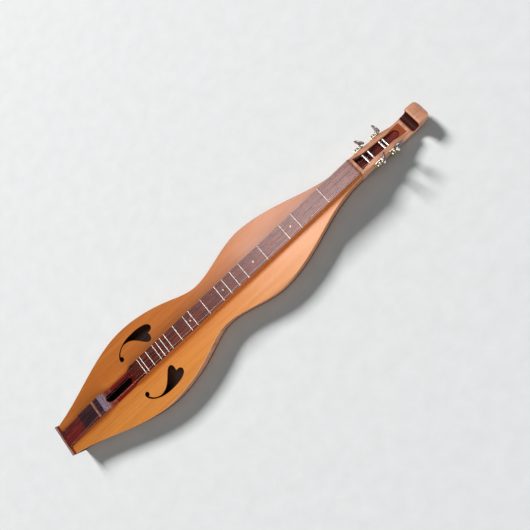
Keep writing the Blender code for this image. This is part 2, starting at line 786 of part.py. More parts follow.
def make_hitch_pins(parent):
    low = TAIL_DECK_TOP - HITCH_DEPTH
    top = HITCH_HEIGHT + HITCH_CLEAR
    under, over, crown = HITCH_RIM_STEPS
    rim = HITCH_RADIUS + HITCH_RIM
    profile = [(HITCH_RADIUS, low), (HITCH_RADIUS, top), (rim, top + under),
               (rim, top + over), (HITCH_RADIUS, top + crown)]
    for index, string in enumerate(STRINGS, 1):
        name = "hitch_pin_%d" % index
        centre = (HITCH_STATION, hitch_y(string), 0)
        add_object(name, lathe_mesh(name, profile, HITCH_SEGMENTS), "steel", parent, centre, smooth=True)


# ---- peghead ----
def head_section(x):
    """Closed section across the peghead, as points in the plane square to X."""
    top = hermite(HEAD_TOP_CURVE, x)
    bottom = hermite(HEAD_BOTTOM_CURVE, x)
    height = top - bottom
    wide = hermite(HEAD_WIDTH_CURVE, x)
    narrow = hermite(HEAD_TOP_WIDTH_CURVE, x)
    corner = min(HEAD_CORNER, HEAD_CORNER_SHARE * height)
    edge = min(HEAD_EDGE, HEAD_EDGE_SHARE * height)
    flank = min(hermite(HEAD_FLANK_CURVE, x), HEAD_FLANK_SHARE * height)
    shoulder = top - flank - edge
    half = []
    for angle in spread(0.0, math.pi / 2, HEAD_CORNER_STEPS + 1):
        y = wide - corner + corner * math.sin(angle)
        half.append((y, bottom + corner - corner * math.cos(angle)))
    for t in spread(0.0, 1.0, HEAD_FLANK_STEPS + 1):
        half.append((wide + (narrow - wide) * ease(t), shoulder + (top - edge - shoulder) * t))
    half.append((narrow - edge, top))
    ring = half + [(-y, z) for y, z in reversed(half)]
    return [Vector((x, y, z)) for y, z in ring]


def head_stations():
    stations = spread(HEAD_START, HEAD_ROUND_START, HEAD_STATIONS)
    reach = HEAD_END - HEAD_ROUND_START
    for angle in spread(0.0, math.pi / 2, HEAD_ROUND_STEPS + 1)[1:]:
        stations.append(HEAD_ROUND_START + reach * math.sin(angle))
    return stations


def pocket_outline():
    """Plan of the string pocket: flared at the nut, round at the far end."""
    end_x, end_half = POCKET_CURVE[-1][:2]
    left = [(x, hermite(POCKET_CURVE, x)) for x in spread(POCKET_START, end_x, POCKET_STATIONS)]
    arc = []
    for angle in spread(math.pi / 2, -math.pi / 2, POCKET_ROUND_STEPS + 1)[1:-1]:
        arc.append((end_x + end_half * math.cos(angle), end_half * math.sin(angle)))
    right = [(x, -y) for x, y in reversed(left)]
    return left + arc + right


def gouge_outline():
    """Round-bottomed notch that undercuts the scroll block, open at the top."""
    points = [(GOUGE_STATION + GOUGE_RADIUS - GOUGE_LEAN, GOUGE_CLEAR_TOP)]
    for angle in spread(0.0, -math.pi, GOUGE_STEPS + 1):
        x = GOUGE_STATION + GOUGE_RADIUS * math.cos(angle)
        points.append((x, GOUGE_HEIGHT + GOUGE_RADIUS * math.sin(angle)))
    points.append((GOUGE_STATION - GOUGE_RADIUS, GOUGE_CLEAR_TOP))
    return points


def recess_mesh():
    """Shallow tray that lowers the wood between the cheeks, before the scroll."""
    sections = []
    for x, depth, half in RECESS:
        floor = hermite(HEAD_TOP_CURVE, x) - depth
        corners = [(-half, floor), (half, floor), (half, HEAD_CLEAR_TOP), (-half, HEAD_CLEAR_TOP)]
        sections.append([Vector((x, y, z)) for y, z in corners])
    return loft_mesh("recess_cutter", sections)


def make_peghead(parent):
    mesh = loft_mesh("peghead", [head_section(x) for x in head_stations()])
    head = add_object("peghead", mesh, "head_wood", parent, smooth=True)
    inset = OVERHANG + SIDE_THICKNESS + GAP
    heel = body_outline(inset, NECK_JOINT - HEEL_LENGTH, HEAD_START + HEEL_OVERLAP, HEEL_STATIONS)
    heel_mesh = prism_mesh("heel_tool", heel, SIDE_BOTTOM, SIDE_TOP)
    combine(head, add_cutter("heel_tool", heel_mesh, parent), "UNION")
    combine(head, add_cutter("recess_cutter", recess_mesh(), parent), "DIFFERENCE")
    pocket = prism_mesh("pocket_cutter", pocket_outline(), POCKET_FLOOR, HEAD_CLEAR_TOP)
    combine(head, add_cutter("pocket_cutter", pocket, parent), "DIFFERENCE")
    gouge = prism_mesh("gouge_cutter", gouge_outline(), -HEAD_CLEAR_SIDE, HEAD_CLEAR_SIDE, "XZ")
    combine(head, add_cutter("gouge_cutter", gouge, parent), "DIFFERENCE")
    for index, (x, z, side, _) in enumerate(TUNERS, 1):
        name = "post_hole_cutter_%d" % index
        ends = sorted((-side * (POST_FAR_END + GAP), side * POST_CUTTER_END))
        profile = [(POST_HOLE_RADIUS, end) for end in ends]
        hole = lathe_mesh(name, profile, POST_SEGMENTS, "Y")
        combine(head, add_cutter(name, hole, parent, (x, 0, z)), "DIFFERENCE")


# ---- tuners ----
def make_plate(name, side, centre, parent):
    """Base plate with two lugs that carry the worm."""
    outer = PLATE_INNER + PLATE_THICKNESS
    ends = sorted((side * PLATE_INNER, side * outer))
    low = (-PLATE_BACK, ends[0], -PLATE_HALF_HEIGHT)
    high = (PLATE_FRONT, ends[1], PLATE_HALF_HEIGHT)
    plate = add_object(name, box_mesh(name, low, high), "nickel", parent, centre)
    lug_ends = sorted((side * (PLATE_INNER + PLATE_THICKNESS / 2), side * (GEAR_PLANE + LUG_REACH)))
    for label, level in (("upper", 1), ("lower", -1)):
        levels = sorted((level * LUG_INNER, level * (LUG_INNER + LUG_THICKNESS)))
        low = (WORM_OFFSET - LUG_HALF_WIDTH, lug_ends[0], levels[0])
        high = (WORM_OFFSET + LUG_HALF_WIDTH, lug_ends[1], levels[1])
        lug_name = "%s_%s_lug_tool" % (name, label)
        combine(plate, add_cutter(lug_name, box_mesh(lug_name, low, high), parent, centre), "UNION")
    bore = WORM_SHAFT_RADIUS + WORM_RADIUS_GAP
    bore_name = name + "_worm_bore"
    profile = [(bore, -WORM_BORE_REACH), (bore, WORM_BORE_REACH)]
    shape = lathe_mesh(bore_name, profile, POST_SEGMENTS)
    place = Vector(centre) + Vector((WORM_OFFSET, side * GEAR_PLANE, 0))
    combine(plate, add_cutter(bore_name, shape, parent, place), "DIFFERENCE")
    hole_name = name + "_post_hole"
    profile = [(POST_HOLE_RADIUS, side * reach) for reach in PLATE_HOLE]
    shape = lathe_mesh(hole_name, profile, POST_SEGMENTS, "Y")
    combine(plate, add_cutter(hole_name, shape, parent, centre), "DIFFERENCE")


def make_post(name, side, parent):
    """String post, turned about Y, with a collar and the stub that carries the gear."""
    collar_start = PLATE_INNER + PLATE_THICKNESS + GAP
    collar_end = GEAR_PLANE - GEAR_HALF_THICKNESS - GAP
    collar = POST_RADIUS + COLLAR_STEP
    profile = [(POST_RADIUS - POST_CHAMFER, -POST_FAR_END),
               (POST_RADIUS, -POST_FAR_END + POST_CHAMFER), (POST_RADIUS, collar_start),
               (collar, collar_start), (collar, collar_end), (STUB_RADIUS, collar_end),
               (STUB_RADIUS, STUB_END)]
    profile = [(radius, side * height) for radius, height in profile]
    add_object(name, lathe_mesh(name, profile, POST_SEGMENTS, "Y"), "steel", parent, smooth=True)


def make_gear(name, side, parent):
    """Worm wheel with a tooth gap facing the worm."""
    outer = []
    pitch = 2 * math.pi / GEAR_TEETH
    tip = TOOTH_TIP_HALF / GEAR_TIP_RADIUS
    root = TOOTH_ROOT_HALF / GEAR_ROOT_RADIUS
    for tooth in range(GEAR_TEETH):
        middle = (tooth + 0.5) * pitch
        corners = ((-root, GEAR_ROOT_RADIUS), (-tip, GEAR_TIP_RADIUS), (tip, GEAR_TIP_RADIUS),
                   (root, GEAR_ROOT_RADIUS))
        for turn, radius in corners:
            angle = middle + turn
            outer.append((angle, radius))
    low = side * GEAR_PLANE - GEAR_HALF_THICKNESS
    high = side * GEAR_PLANE + GEAR_HALF_THICKNESS
    rings = []
    for level, bore in ((low, False), (high, False), (high, True), (low, True)):
        ring = []
        for angle, radius in outer:
            size = GEAR_BORE_RADIUS if bore else radius
            ring.append(Vector((size * math.cos(angle), level, size * math.sin(angle))))
        rings.append(ring)
    bm = bmesh.new()
    loops = [[bm.verts.new(point) for point in ring] for ring in rings]
    for first, second in zip(loops, loops[1:] + loops[:1]):
        for i in range(len(first)):
            j = (i + 1) % len(first)
            bm.faces.new((first[i], first[j], second[j], second[i]))
    add_object(name, mesh_from(bm, name), "brass", parent)


def make_worm(name, parent):
    """Right-handed worm on its shaft, with the thread's crest facing the gear at mid height."""
    steps = [(-THREAD_ROOT_HALF, WORM_ROOT_RADIUS), (-THREAD_CREST_HALF, WORM_CREST_RADIUS),
             (THREAD_CREST_HALF, WORM_CREST_RADIUS), (THREAD_ROOT_HALF, WORM_ROOT_RADIUS)]
    bm = bmesh.new()
    grid = []
    for column in range(WORM_COLUMNS + 1):
        angle = 2 * math.pi * column / WORM_COLUMNS
        rise = WORM_LEAD * (angle - math.pi) / (2 * math.pi)
        line = []
        for turn in range(-WORM_TURNS, WORM_TURNS + 1):
            for offset, radius in steps:
                z = turn * WORM_LEAD + rise + offset
                reach = min(1.0, max(0.0, (WORM_HALF_LENGTH - abs(z)) / THREAD_FADE))
                size = WORM_ROOT_RADIUS + (radius - WORM_ROOT_RADIUS) * reach
                z = max(-WORM_HALF_LENGTH, min(WORM_HALF_LENGTH, z))
                line.append(bm.verts.new((size * math.cos(angle), size * math.sin(angle), z)))
        grid.append(line)
    for line, following in zip(grid, grid[1:]):
        for i in range(len(line) - 1):
            bm.faces.new((line[i], following[i], following[i + 1], line[i + 1]))
    bmesh.ops.remove_doubles(bm, verts=bm.verts, dist=MERGE)
    bmesh.ops.dissolve_degenerate(bm, dist=MERGE, edges=bm.edges)
    for level, end in ((WORM_HALF_LENGTH, SHAFT_ABOVE), (-WORM_HALF_LENGTH, -SHAFT_BELOW)):
        rim = [edge for edge in bm.edges if edge.is_boundary and edge.verts[0].co.z * level > 0]
        for radius, z in ((WORM_SHAFT_RADIUS, level), (WORM_SHAFT_RADIUS, end)):
            extruded = bmesh.ops.extrude_edge_only(bm, edges=rim)
            rim = [item for item in extruded["geom"] if isinstance(item, bmesh.types.BMEdge)]
            for vert in {vert for edge in rim for vert in edge.verts}:
                scale = radius / math.hypot(vert.co.x, vert.co.y)
                vert.co = Vector((vert.co.x * scale, vert.co.y * scale, z))
        bmesh.ops.edgeloop_fill(bm, edges=rim)
    add_object(name, mesh_from(bm, name), "steel", parent)


def make_button(name, turn, parent):
    """Flattened oval button with a round neck and a socket for the worm shaft."""
    swing = math.radians(turn)
    sections = []
    for height, length, thickness in BUTTON_SECTIONS:
        ring = []
        for i in range(BUTTON_SIDES):
            angle = 2 * math.pi * i / BUTTON_SIDES
            c = math.cos(angle)
            s = math.sin(angle)
            along = length * math.copysign(abs(c) ** BUTTON_SQUARENESS, c)
            across = thickness * math.copysign(abs(s) ** BUTTON_SQUARENESS, s)
            x = along * math.cos(swing) - across * math.sin(swing)
            y = along * math.sin(swing) + across * math.cos(swing)
            ring.append(Vector((x, y, BUTTON_BASE + height)))
        sections.append(ring)
    button = add_object(name, loft_mesh(name, sections), "nickel", parent, smooth=True)
    socket_name = name + "_socket"
    radius = WORM_SHAFT_RADIUS + BUTTON_SOCKET_FIT
    profile = [(radius, BUTTON_BASE - BUTTON_SOCKET_MOUTH), (radius, BUTTON_BASE + BUTTON_SOCKET)]
    shape = lathe_mesh(socket_name, profile, SOCKET_SEGMENTS)
    combine(button, add_cutter(socket_name, shape, parent), "DIFFERENCE")


def add_axis(name, location, parent):
    empty = bpy.data.objects.new(name, None)
    bpy.context.collection.objects.link(empty)
    empty.parent = parent
    empty.location = location
    return empty


def make_tuner(index, tuner, parent):
    x, z, side, turn = tuner
    prefix = "tuner_%d" % index
    make_plate(prefix + "_plate", side, (x, 0, z), parent)
    post_axis = add_axis(prefix + "_post_axis", (x, 0, z), parent)
    make_post(prefix + "_post", side, post_axis)
    make_gear(prefix + "_gear", side, post_axis)
    place = (x + WORM_OFFSET, side * GEAR_PLANE, z)
    knob_axis = add_axis(prefix + "_knob_axis", place, parent)
    make_worm(prefix + "_worm", knob_axis)
    make_button(prefix + "_button", turn, knob_axis)


def main():
    for obj in list(bpy.data.objects):
        bpy.data.objects.remove(obj, do_unlink=True)
    frame = add_axis("scale_frame", (-(TAIL_END + HEAD_END) / 2, 0, 0), None)
    make_soundboard(frame)
    make_back(frame)
    make_side("side_left", 1, frame)
    make_side("side_right", -1, frame)
    make_tail(frame)
    make_brace(frame)
    make_peghead(frame)
    make_fretboard_base(frame)
    make_fretboard_overlay(frame)
    make_tail_overlay(frame)
    make_frets(frame)
    make_nut(frame)
    make_bridge(frame)
    make_hitch_pins(frame)
    make_strings(frame)
    for index, tuner in enumerate(TUNERS, 1):
        make_tuner(index, tuner, frame)


main()
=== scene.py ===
"""Looks of the mountain dulcimer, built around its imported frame.

The frame is in metres: +X runs from the tail to the peghead, +Y is the side of the doubled
melody strings, and the instrument lies on its back at z = 0. Lengths along the instrument
are stations measured from the theoretical bridge line, as in the CAD source, and HOME is
the world X of station 0.
"""

import json
from math import asin, atan2, copysign, cos, degrees, hypot, pi, radians, sin, sqrt

import bmesh
import bpy
from mathutils import Matrix, Vector


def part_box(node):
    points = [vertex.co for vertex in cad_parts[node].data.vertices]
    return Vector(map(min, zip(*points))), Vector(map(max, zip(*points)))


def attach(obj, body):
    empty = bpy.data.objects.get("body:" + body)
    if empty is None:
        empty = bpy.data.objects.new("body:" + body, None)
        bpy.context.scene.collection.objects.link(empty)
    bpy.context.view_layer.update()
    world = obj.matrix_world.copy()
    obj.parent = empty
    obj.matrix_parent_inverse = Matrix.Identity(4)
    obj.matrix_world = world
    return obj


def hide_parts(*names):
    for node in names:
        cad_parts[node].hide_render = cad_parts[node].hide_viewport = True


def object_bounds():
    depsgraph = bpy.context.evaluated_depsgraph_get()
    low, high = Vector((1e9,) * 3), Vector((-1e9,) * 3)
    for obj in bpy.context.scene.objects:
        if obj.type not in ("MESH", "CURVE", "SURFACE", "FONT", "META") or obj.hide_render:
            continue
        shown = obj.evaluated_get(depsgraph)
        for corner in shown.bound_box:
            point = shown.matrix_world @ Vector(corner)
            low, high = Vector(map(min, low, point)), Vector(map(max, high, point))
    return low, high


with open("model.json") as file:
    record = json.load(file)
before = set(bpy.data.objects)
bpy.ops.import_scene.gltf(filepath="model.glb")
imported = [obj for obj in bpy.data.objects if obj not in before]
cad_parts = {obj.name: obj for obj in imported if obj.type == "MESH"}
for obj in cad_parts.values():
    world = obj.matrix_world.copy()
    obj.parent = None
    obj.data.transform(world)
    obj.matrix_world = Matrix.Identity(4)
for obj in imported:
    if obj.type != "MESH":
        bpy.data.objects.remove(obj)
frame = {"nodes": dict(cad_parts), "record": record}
cad_low, cad_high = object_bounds()

# ---- camera ----
CAMERA_PLACE = Vector((0.208, -0.247, 0.957))
CAMERA_FORWARD = Vector((-0.1374, 0.2405, -0.9609))
CAMERA_RIGHT = Vector((0.7232, -0.6385, -0.2633))
CAMERA_LENS = 32.9
SENSOR = 36
FLOOR_HALF = 6.0

# ---- the instrument, in stations and heights ----
SCALE_LENGTH = 0.711
TAIL_END = -0.117
HOME = cad_low.x - TAIL_END
GAP = 0.0002
board_low, board_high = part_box("soundboard")
finger_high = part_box("fretboard_overlay")[1]
side_low, side_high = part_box("side_left")
BODY_START = board_low.x - HOME
NECK_JOINT = board_high.x - HOME
BOARD_BOTTOM = board_low.z
BOARD_TOP = board_high.z
BACK_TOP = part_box("back_panel")[1].z
SIDE_BOTTOM = side_low.z
SIDE_TOP = side_high.z
FINGER_TOP = finger_high.z
FINGER_HALF = finger_high.y
OVERHANG = 0.0015
SIDE_THICKNESS = 0.0022
BODY_CURVE = [
    (-0.118, 0.0350, 0.155),
    (0.128, 0.0948, 0.000),
    (0.258, 0.0685, -0.385),
    (0.322, 0.0508, 0.000),
    (0.455, 0.0744, 0.000),
    (0.575, 0.0502, -0.330),
    (0.665, 0.0245, -0.170),
    (0.715, 0.0203, 0.000),
]
HOLE_BALL = (0.0960, 0.0462)
HOLE_BALL_RADIUS = 0.0054
HOLE_BALL_ARC = (172, 442)
HOLE_CURVE = [
    ((0.0985, 0.0560), (0.1085, 0.0668), (0.1215, 0.0668)),
    ((0.1490, 0.0662), (0.1590, 0.0335), (0.1715, 0.0337)),
    ((0.1800, 0.0337), (0.1800, 0.0430), (0.1786, 0.0502)),
    ((0.1860, 0.0492), (0.1921, 0.0515), (0.1921, 0.0575)),
    ((0.1921, 0.0700), (0.1650, 0.0746), (0.1400, 0.0736)),
]
HOLE_RETURN = ((0.1120, 0.0726), (0.0925, 0.0600))
STRUM_SLOT = (0.022, 0.091, 0.0086)
SLOT_STEP = 0.0008
OVERLAY_THICKNESS = 0.004
OVERLAY_END = 0.709
BASE_TOP = FINGER_TOP - OVERLAY_THICKNESS - GAP
BASE_BOTTOM = BOARD_TOP + GAP
HOLLOW_FLOOR = 0.0395
HOLLOW_TAIL = (0.0095, 0.037)
HOLLOW_HEAD = (0.114, 0.085)
HOLLOW_CURVE = [
    (0.0095, 0.0560, -0.43),
    (0.0185, 0.0520, -0.46),
    (0.0370, 0.0395, -0.52),
    (0.0371, 0.0395, 0.00),
    (0.0850, 0.0395, 0.00),
    (0.1140, 0.0560, 0.00),
]
TAIL_DECK_TOP = 0.0442
TAIL_DECK_RAMP = (-0.049, -0.095)
PLATFORM = (-0.049, -0.020, 0.0022)
FRET_HALF = 0.00118
FRET_CROWN = 0.00115
FRET_SLOT_HALF = 0.0003
FRET_SLOT_DEPTH = 0.0021
TANG_HALF = 0.00026
TANG_FOOT = 0.0541
FRET_SEMITONES = [2, 4, 5, 7, 9, 10, 11, 12, 14, 16, 17, 19, 21, 22, 23, 24, 26, 28, 29]
DOT_SPACES = (3, 5, 8, 11)
DOT_RADIUS = 0.0017
BRIDGE_STATION = -0.0035
BRIDGE_HALF = 0.0017
BRIDGE_TOP = 0.0604
BRIDGE_SEAT = 0.0542
NUT_FRONT = 0.7092
NUT_BACK = 0.713
NUT_TOP = 0.0579
STRING_SEAT = 0.0002
HITCH_STATION = -0.105
HITCH_HEIGHT = 0.048
HITCH_RADIUS = 0.0011
LOOP_LENGTH = 0.004
TWIST_TURNS = 9
TWIST_LENGTH = 0.009
# Radius, then Y at the hitch pin, bridge, nut and post. String n goes to tuner n.
STRINGS = [
    (0.00015, 0.0155, 0.0148, 0.0142, 0.0075),
    (0.00015, 0.0105, 0.0103, 0.0100, 0.0040),
    (0.00018, 0.0000, 0.0000, 0.0000, -0.0015),
    (0.00028, -0.0165, -0.0155, -0.0145, -0.0075),
]

# ---- peghead: station, value, slope ----
HEAD_TOP_CURVE = [
    (0.7135, 0.0525, -0.42),
    (0.7500, 0.0435, -0.25),
    (0.7950, 0.0335, -0.24),
    (0.8250, 0.0262, -0.15),
    (0.8380, 0.0250, 0.00),
    (0.8570, 0.0360, 0.00),
    (0.8680, 0.0352, -0.16),
    (0.8830, 0.0225, -2.40),
]
HEAD_BOTTOM_CURVE = [
    (0.7135, 0.0020, 0.42),
    (0.7480, 0.0100, 0.00),
    (0.7900, 0.0058, -0.14),
    (0.8320, 0.0008, 0.00),
    (0.8520, 0.0028, 0.25),
    (0.8700, 0.0090, 0.50),
    (0.8830, 0.0185, 1.60),
]
HEAD_WIDTH_CURVE = [
    (0.7135, 0.0200, 0.00),
    (0.7500, 0.0202, 0.00),
    (0.8680, 0.0202, 0.00),
    (0.8830, 0.0110, -2.20),
]
HEAD_TOP_WIDTH_CURVE = [
    (0.7135, 0.0194, 0.00),
    (0.7800, 0.0196, 0.00),
    (0.8080, 0.0166, -0.13),
    (0.8280, 0.0150, 0.00),
    (0.8380, 0.0150, 0.05),
    (0.8570, 0.0198, 0.05),
    (0.8680, 0.0195, -0.02),
    (0.8830, 0.0100, -2.20),
]
HEAD_FLANK_CURVE = [
    (0.7135, 0.0015, 0.00),
    (0.7900, 0.0015, 0.00),
    (0.8300, 0.0180, 0.00),
    (0.8380, 0.0180, 0.00),
    (0.8570, 0.0040, 0.00),
    (0.8830, 0.0020, 0.00),
]
HEAD_START = NECK_JOINT + 0.0005
HEAD_ROUND_START = 0.868
HEAD_END = 0.883
HEAD_CORNER = 0.004
HEAD_EDGE = 0.0008
HEAD_VOXEL = 0.0006
HEEL_LENGTH = 0.040
BORE_SLACK = 0.0006
POCKET_FLOOR = 0.017
POCKET_CURVE = [
    (0.7200, 0.0152, -0.22),
    (0.7420, 0.0112, -0.10),
    (0.7780, 0.0102, -0.02),
    (0.8120, 0.0085, -0.05),
]
RECESS = [(0.8010, -0.0005, 0.0098), (0.8090, 0.0024, 0.0106), (0.8310, 0.0029, 0.0117)]
GOUGE = (0.8462, 0.0225, 0.0092)
GOUGE_LEAN = 0.0062
GOUGE_TOP = 0.050
GOUGE_RIM = 0.0352
CLEAR = 0.060

# ---- tuners: post station, post height, side, turn of the button ----
TUNERS = [
    (0.7400, 0.0360, 1, -55.0),
    (0.7805, 0.0285, 1, -80.0),
    (0.7890, 0.0262, -1, -8.0),
    (0.7530, 0.0335, -1, 45.0),
]
POST_RADIUS = 0.0030
POST_FAR_END = 0.0150
POST_EYE = 0.0008
COIL_CLEARANCE = 0.0001
COIL_TURNS = 3.6
COIL_PITCH = 2.15  # in string radii
PLATE_INNER = 0.0205
PLATE_THICKNESS = 0.0012
PLATE_BACK = 0.0100
PLATE_FRONT = 0.0120
PLATE_HALF_HEIGHT = 0.0085
PLATE_CORNER = 0.0022
SCREW_RADIUS = 0.0015
SCREW_HEIGHT = 0.0009
PLATE_SCREWS = ((-0.0076, 0.0060), (-0.0076, -0.0060))
LUG_INNER = 0.0050
LUG_THICKNESS = 0.0012
LUG_RADIUS = 0.0032
GEAR_PLANE = 0.0260
GEAR_TEETH = 16
GEAR_PITCH_RADIUS = 0.0056
GEAR_TIP_RADIUS = 0.0062
GEAR_ROOT_RADIUS = 0.0047
GEAR_HALF_THICKNESS = 0.0013
STUB_RADIUS = 0.00245
STUB_END = 0.0282
WORM_PITCH_RADIUS = 0.0029
WORM_ROOT_RADIUS = 0.0022
WORM_CREST_RADIUS = 0.00355
WORM_SHAFT_RADIUS = 0.0019
WORM_HALF_LENGTH = 0.0045
WORM_OFFSET = GEAR_PITCH_RADIUS + WORM_PITCH_RADIUS
WORM_LEAD = 2 * pi * GEAR_PITCH_RADIUS / GEAR_TEETH
SHAFT_BELOW = 0.0072
BUTTON_BASE = 0.0160
BUTTON_FULLNESS = 0.8
# Height over the button's base, half length, half thickness.
BUTTON_SECTIONS = [
    (0.0000, 0.0026, 0.0026),
    (0.0005, 0.0029, 0.0029),
    (0.0020, 0.0030, 0.0029),
    (0.0032, 0.0056, 0.0026),
    (0.0048, 0.0086, 0.0023),
    (0.0068, 0.0100, 0.0021),
    (0.0090, 0.0103, 0.0020),
    (0.0112, 0.0096, 0.0019),
    (0.0132, 0.0078, 0.0017),
    (0.0146, 0.0050, 0.0013),
    (0.0152, 0.0022, 0.0007),
]


# ---- camera, light and floor ----
def make_camera():
    data = bpy.data.cameras.new("camera")
    data.lens = CAMERA_LENS
    data.sensor_width = SENSOR
    camera = new_object("camera", data)
    back = -CAMERA_FORWARD.normalized()
    up = back.cross(CAMERA_RIGHT).normalized()
    right = up.cross(back)
    turn = Matrix((right, up, back)).transposed()
    camera.matrix_world = Matrix.Translation(CAMERA_PLACE) @ turn.to_4x4()
    bpy.context.scene.camera = camera


def area_light(name, place, aim, size, power, colour, floor, state):
    """Soft box that lights only the floor (INCLUDE) or everything but it (EXCLUDE)."""
    data = bpy.data.lights.new(name, "AREA")
    data.shape = "RECTANGLE"
    data.size, data.size_y = size
    data.energy = power
    data.color = colour
    light = new_object(name, data)
    light.location = place
    light.rotation_euler = (Vector(aim) - Vector(place)).to_track_quat("-Z", "Y").to_euler()
    light.visible_camera = False
    lit = bpy.data.collections.new(name + "_lit")
    lit.objects.link(floor)
    lit.collection_objects[0].light_linking.link_state = state
    light.light_linking.receiver_collection = lit


def make_lights(floor):
    centre = (0.0, 0.0, 0.0)
    area_light("paper", (-4.0, 24.0, 15.6), centre, (6.8, 6.8), 12400, (1.0, 1.0, 1.0),
               floor, "INCLUDE")
    area_light("paper_fill", (0.0, 0.0, 4.0), centre, (5.0, 5.0), 21, (0.78, 1.0, 1.02),
               floor, "INCLUDE")
    area_light("overhead", (0.20, 0.30, 1.25), (0.12, 0.0, 0.0), (0.8, 0.4), 9.4,
               (1.0, 0.94, 0.94), floor, "EXCLUDE")
    area_light("side", (-0.06, -0.66, 0.75), (-0.14, 0.0, 0.03), (1.3, 0.6), 7.7,
               (1.0, 0.96, 0.90), floor, "EXCLUDE")
    world = bpy.data.worlds.new("studio")
    world.use_nodes = True
    background = world.node_tree.nodes["Background"]
    background.inputs["Color"].default_value = (0.97, 0.98, 1.0, 1)
    background.inputs["Strength"].default_value = 0.13
    bpy.context.scene.world = world
    bpy.context.scene.view_settings.view_transform = "Standard"


def make_floor():
    mesh = bpy.data.meshes.new("floor")
    corners = [(x, y, 0) for x, y in rectangle(FLOOR_HALF, FLOOR_HALF)]
    mesh.from_pydata(corners, [], [(0, 1, 2, 3)])
    floor = new_object("floor", mesh)
    floor.location.z = cad_low.z - GAP
    mesh.materials.append(floor_paper().material)
    return floor


# ---- materials ----
WHITE = (1.0, 1.0, 1.0, 1)
# Painted shade for the walls of the strum slot, which look into the dark.
SLOT_SHADE = (0.006, 0.005, 0.005, 1)
RING_PITCH = 0.0017
WRAP_PITCH = 0.00016
FINE_STREAKS = (16, 460, 300)
# The walls of the sound holes lie inside this half width and this far either side of a station.
HOLES_HALF_WIDTH = 0.0760
HOLES_STATION = 0.141
HOLES_REACH = 0.0525
# Pale, mid and dark grain of the woods with nothing else to show, as display values of 0 to 255.
PLAIN_WOODS = {
    "body_wood": ((230, 180, 146), (208, 152, 118), (164, 108, 78)),
    "nut_wood": ((170, 118, 92), (146, 96, 72), (108, 66, 48)),
    "bridge_wood": ((190, 136, 118), (170, 116, 100), (132, 84, 70)),
}
# Bright colour, tarnished colour and roughness.
METALS = {
    "nickel": ((0.72, 0.69, 0.64, 1), (0.44, 0.41, 0.34, 1), 0.20),
    "key_nickel": ((0.36, 0.33, 0.35, 1), (0.16, 0.14, 0.16, 1), 0.26),
    "fret_nickel": ((0.86, 0.82, 0.76, 1), (0.62, 0.58, 0.52, 1), 0.34),
    "steel": ((0.70, 0.69, 0.68, 1), (0.44, 0.42, 0.40, 1), 0.22),
    "old_steel": ((0.14, 0.10, 0.09, 1), (0.07, 0.05, 0.05, 1), 0.42),
    "wire": ((0.34, 0.30, 0.29, 1), (0.20, 0.17, 0.15, 1), 0.34),
    "brass": ((0.70, 0.62, 0.32, 1), (0.34, 0.32, 0.16, 1), 0.24),
}


class Graph:
    """A new material with one Principled shader, and short calls that add nodes to it."""

    def __init__(self, name):
        self.name = name
        self.material = bpy.data.materials.new(name)
        self.material.use_nodes = True
        self.tree = self.material.node_tree
        self.shader = self.tree.nodes["Principled BSDF"]
        self.coordinates = self.tree.nodes.new("ShaderNodeTexCoord").outputs
        self.colour = WHITE

    def add(self, kind, links=(), **settings):
        node = self.tree.nodes.new("ShaderNode" + kind)
        for key, value in settings.items():
            setattr(node, key, value)
        for socket, source in dict(links).items():
            self.feed(node.inputs[socket], source)
        return node

    def feed(self, socket, source):
        """Link a socket to another node's output, or set it to a plain value."""
        if hasattr(source, "is_output"):
            self.tree.links.new(source, socket)
        else:
            socket.default_value = source

    def axes(self, space="Object"):
        return self.add("SeparateXYZ", {"Vector": self.coordinates[space]}).outputs

    def noise(self, scale, detail=4.0, rough=0.55, distortion=0.0):
        """Noise over the object's coordinates multiplied by a scale for each axis."""
        stretched = self.add("Mapping", {"Vector": self.coordinates["Object"], "Scale": scale})
        node = self.add("TexNoise", {"Vector": stretched.outputs["Vector"], "Scale": 1.0,
                                     "Detail": detail, "Roughness": rough,
                                     "Distortion": distortion})
        return node.outputs["Fac"]

    def ramp(self, value, *stops):
        node = self.add("ValToRGB", {"Fac": value})
        elements = node.color_ramp.elements
        while len(elements) < len(stops):
            elements.new(0.5)
        for element, (place, colour) in zip(elements, stops):
            element.position = place
            element.color = colour
        return node.outputs["Color"]

    def between(self, value, low, high, to_low=0.0, to_high=1.0):
        """Straight, clamped change from one value to another between two levels."""
        node = self.add("MapRange", {"Value": value, "From Min": low, "From Max": high,
                                     "To Min": to_low, "To Max": to_high})
        node.clamp = True
        return node.outputs["Result"]

    def math(self, operation, first, second=0.0):
        return self.add("Math", {0: first, 1: second}, operation=operation).outputs["Value"]

    def mix(self, factor, first, second, mode="MIX"):
        links = {0: factor, 6: first, 7: second}
        return self.add("Mix", links, data_type="RGBA", blend_type=mode).outputs[2]

    def times(self, colour, tint):
        return self.mix(1.0, colour, tint, "MULTIPLY")

    def bump(self, height, distance):
        node = self.add("Bump", {"Height": height, "Distance": distance, "Strength": 1.0})
        return node.outputs["Normal"]

    def finish(self, **sockets):
        """Feed the shader, and remember its colour for a material that adds to this one."""
        for key, source in sockets.items():
            self.feed(self.shader.inputs[key.replace("_", " ")], source)
        self.colour = sockets.get("Base_Color", self.colour)
        return self


def rgb(red, green, blue):
    """Linear colour from display values of 0 to 255."""
    def linear(value):
        value = value / 255
        return value / 12.92 if value <= 0.04045 else ((value + 0.055) / 1.055) ** 2.4
    return (linear(red), linear(green), linear(blue), 1)


def floor_paper():
    g = Graph("floor_paper")
    tone = g.noise((30, 30, 30), 6)
    colour = g.ramp(tone, (0.3, (0.775, 0.78, 0.775, 1)), (0.7, (0.815, 0.82, 0.815, 1)))
    return g.finish(Base_Color=colour, Roughness=0.9, Normal=g.bump(tone, 0.0004))


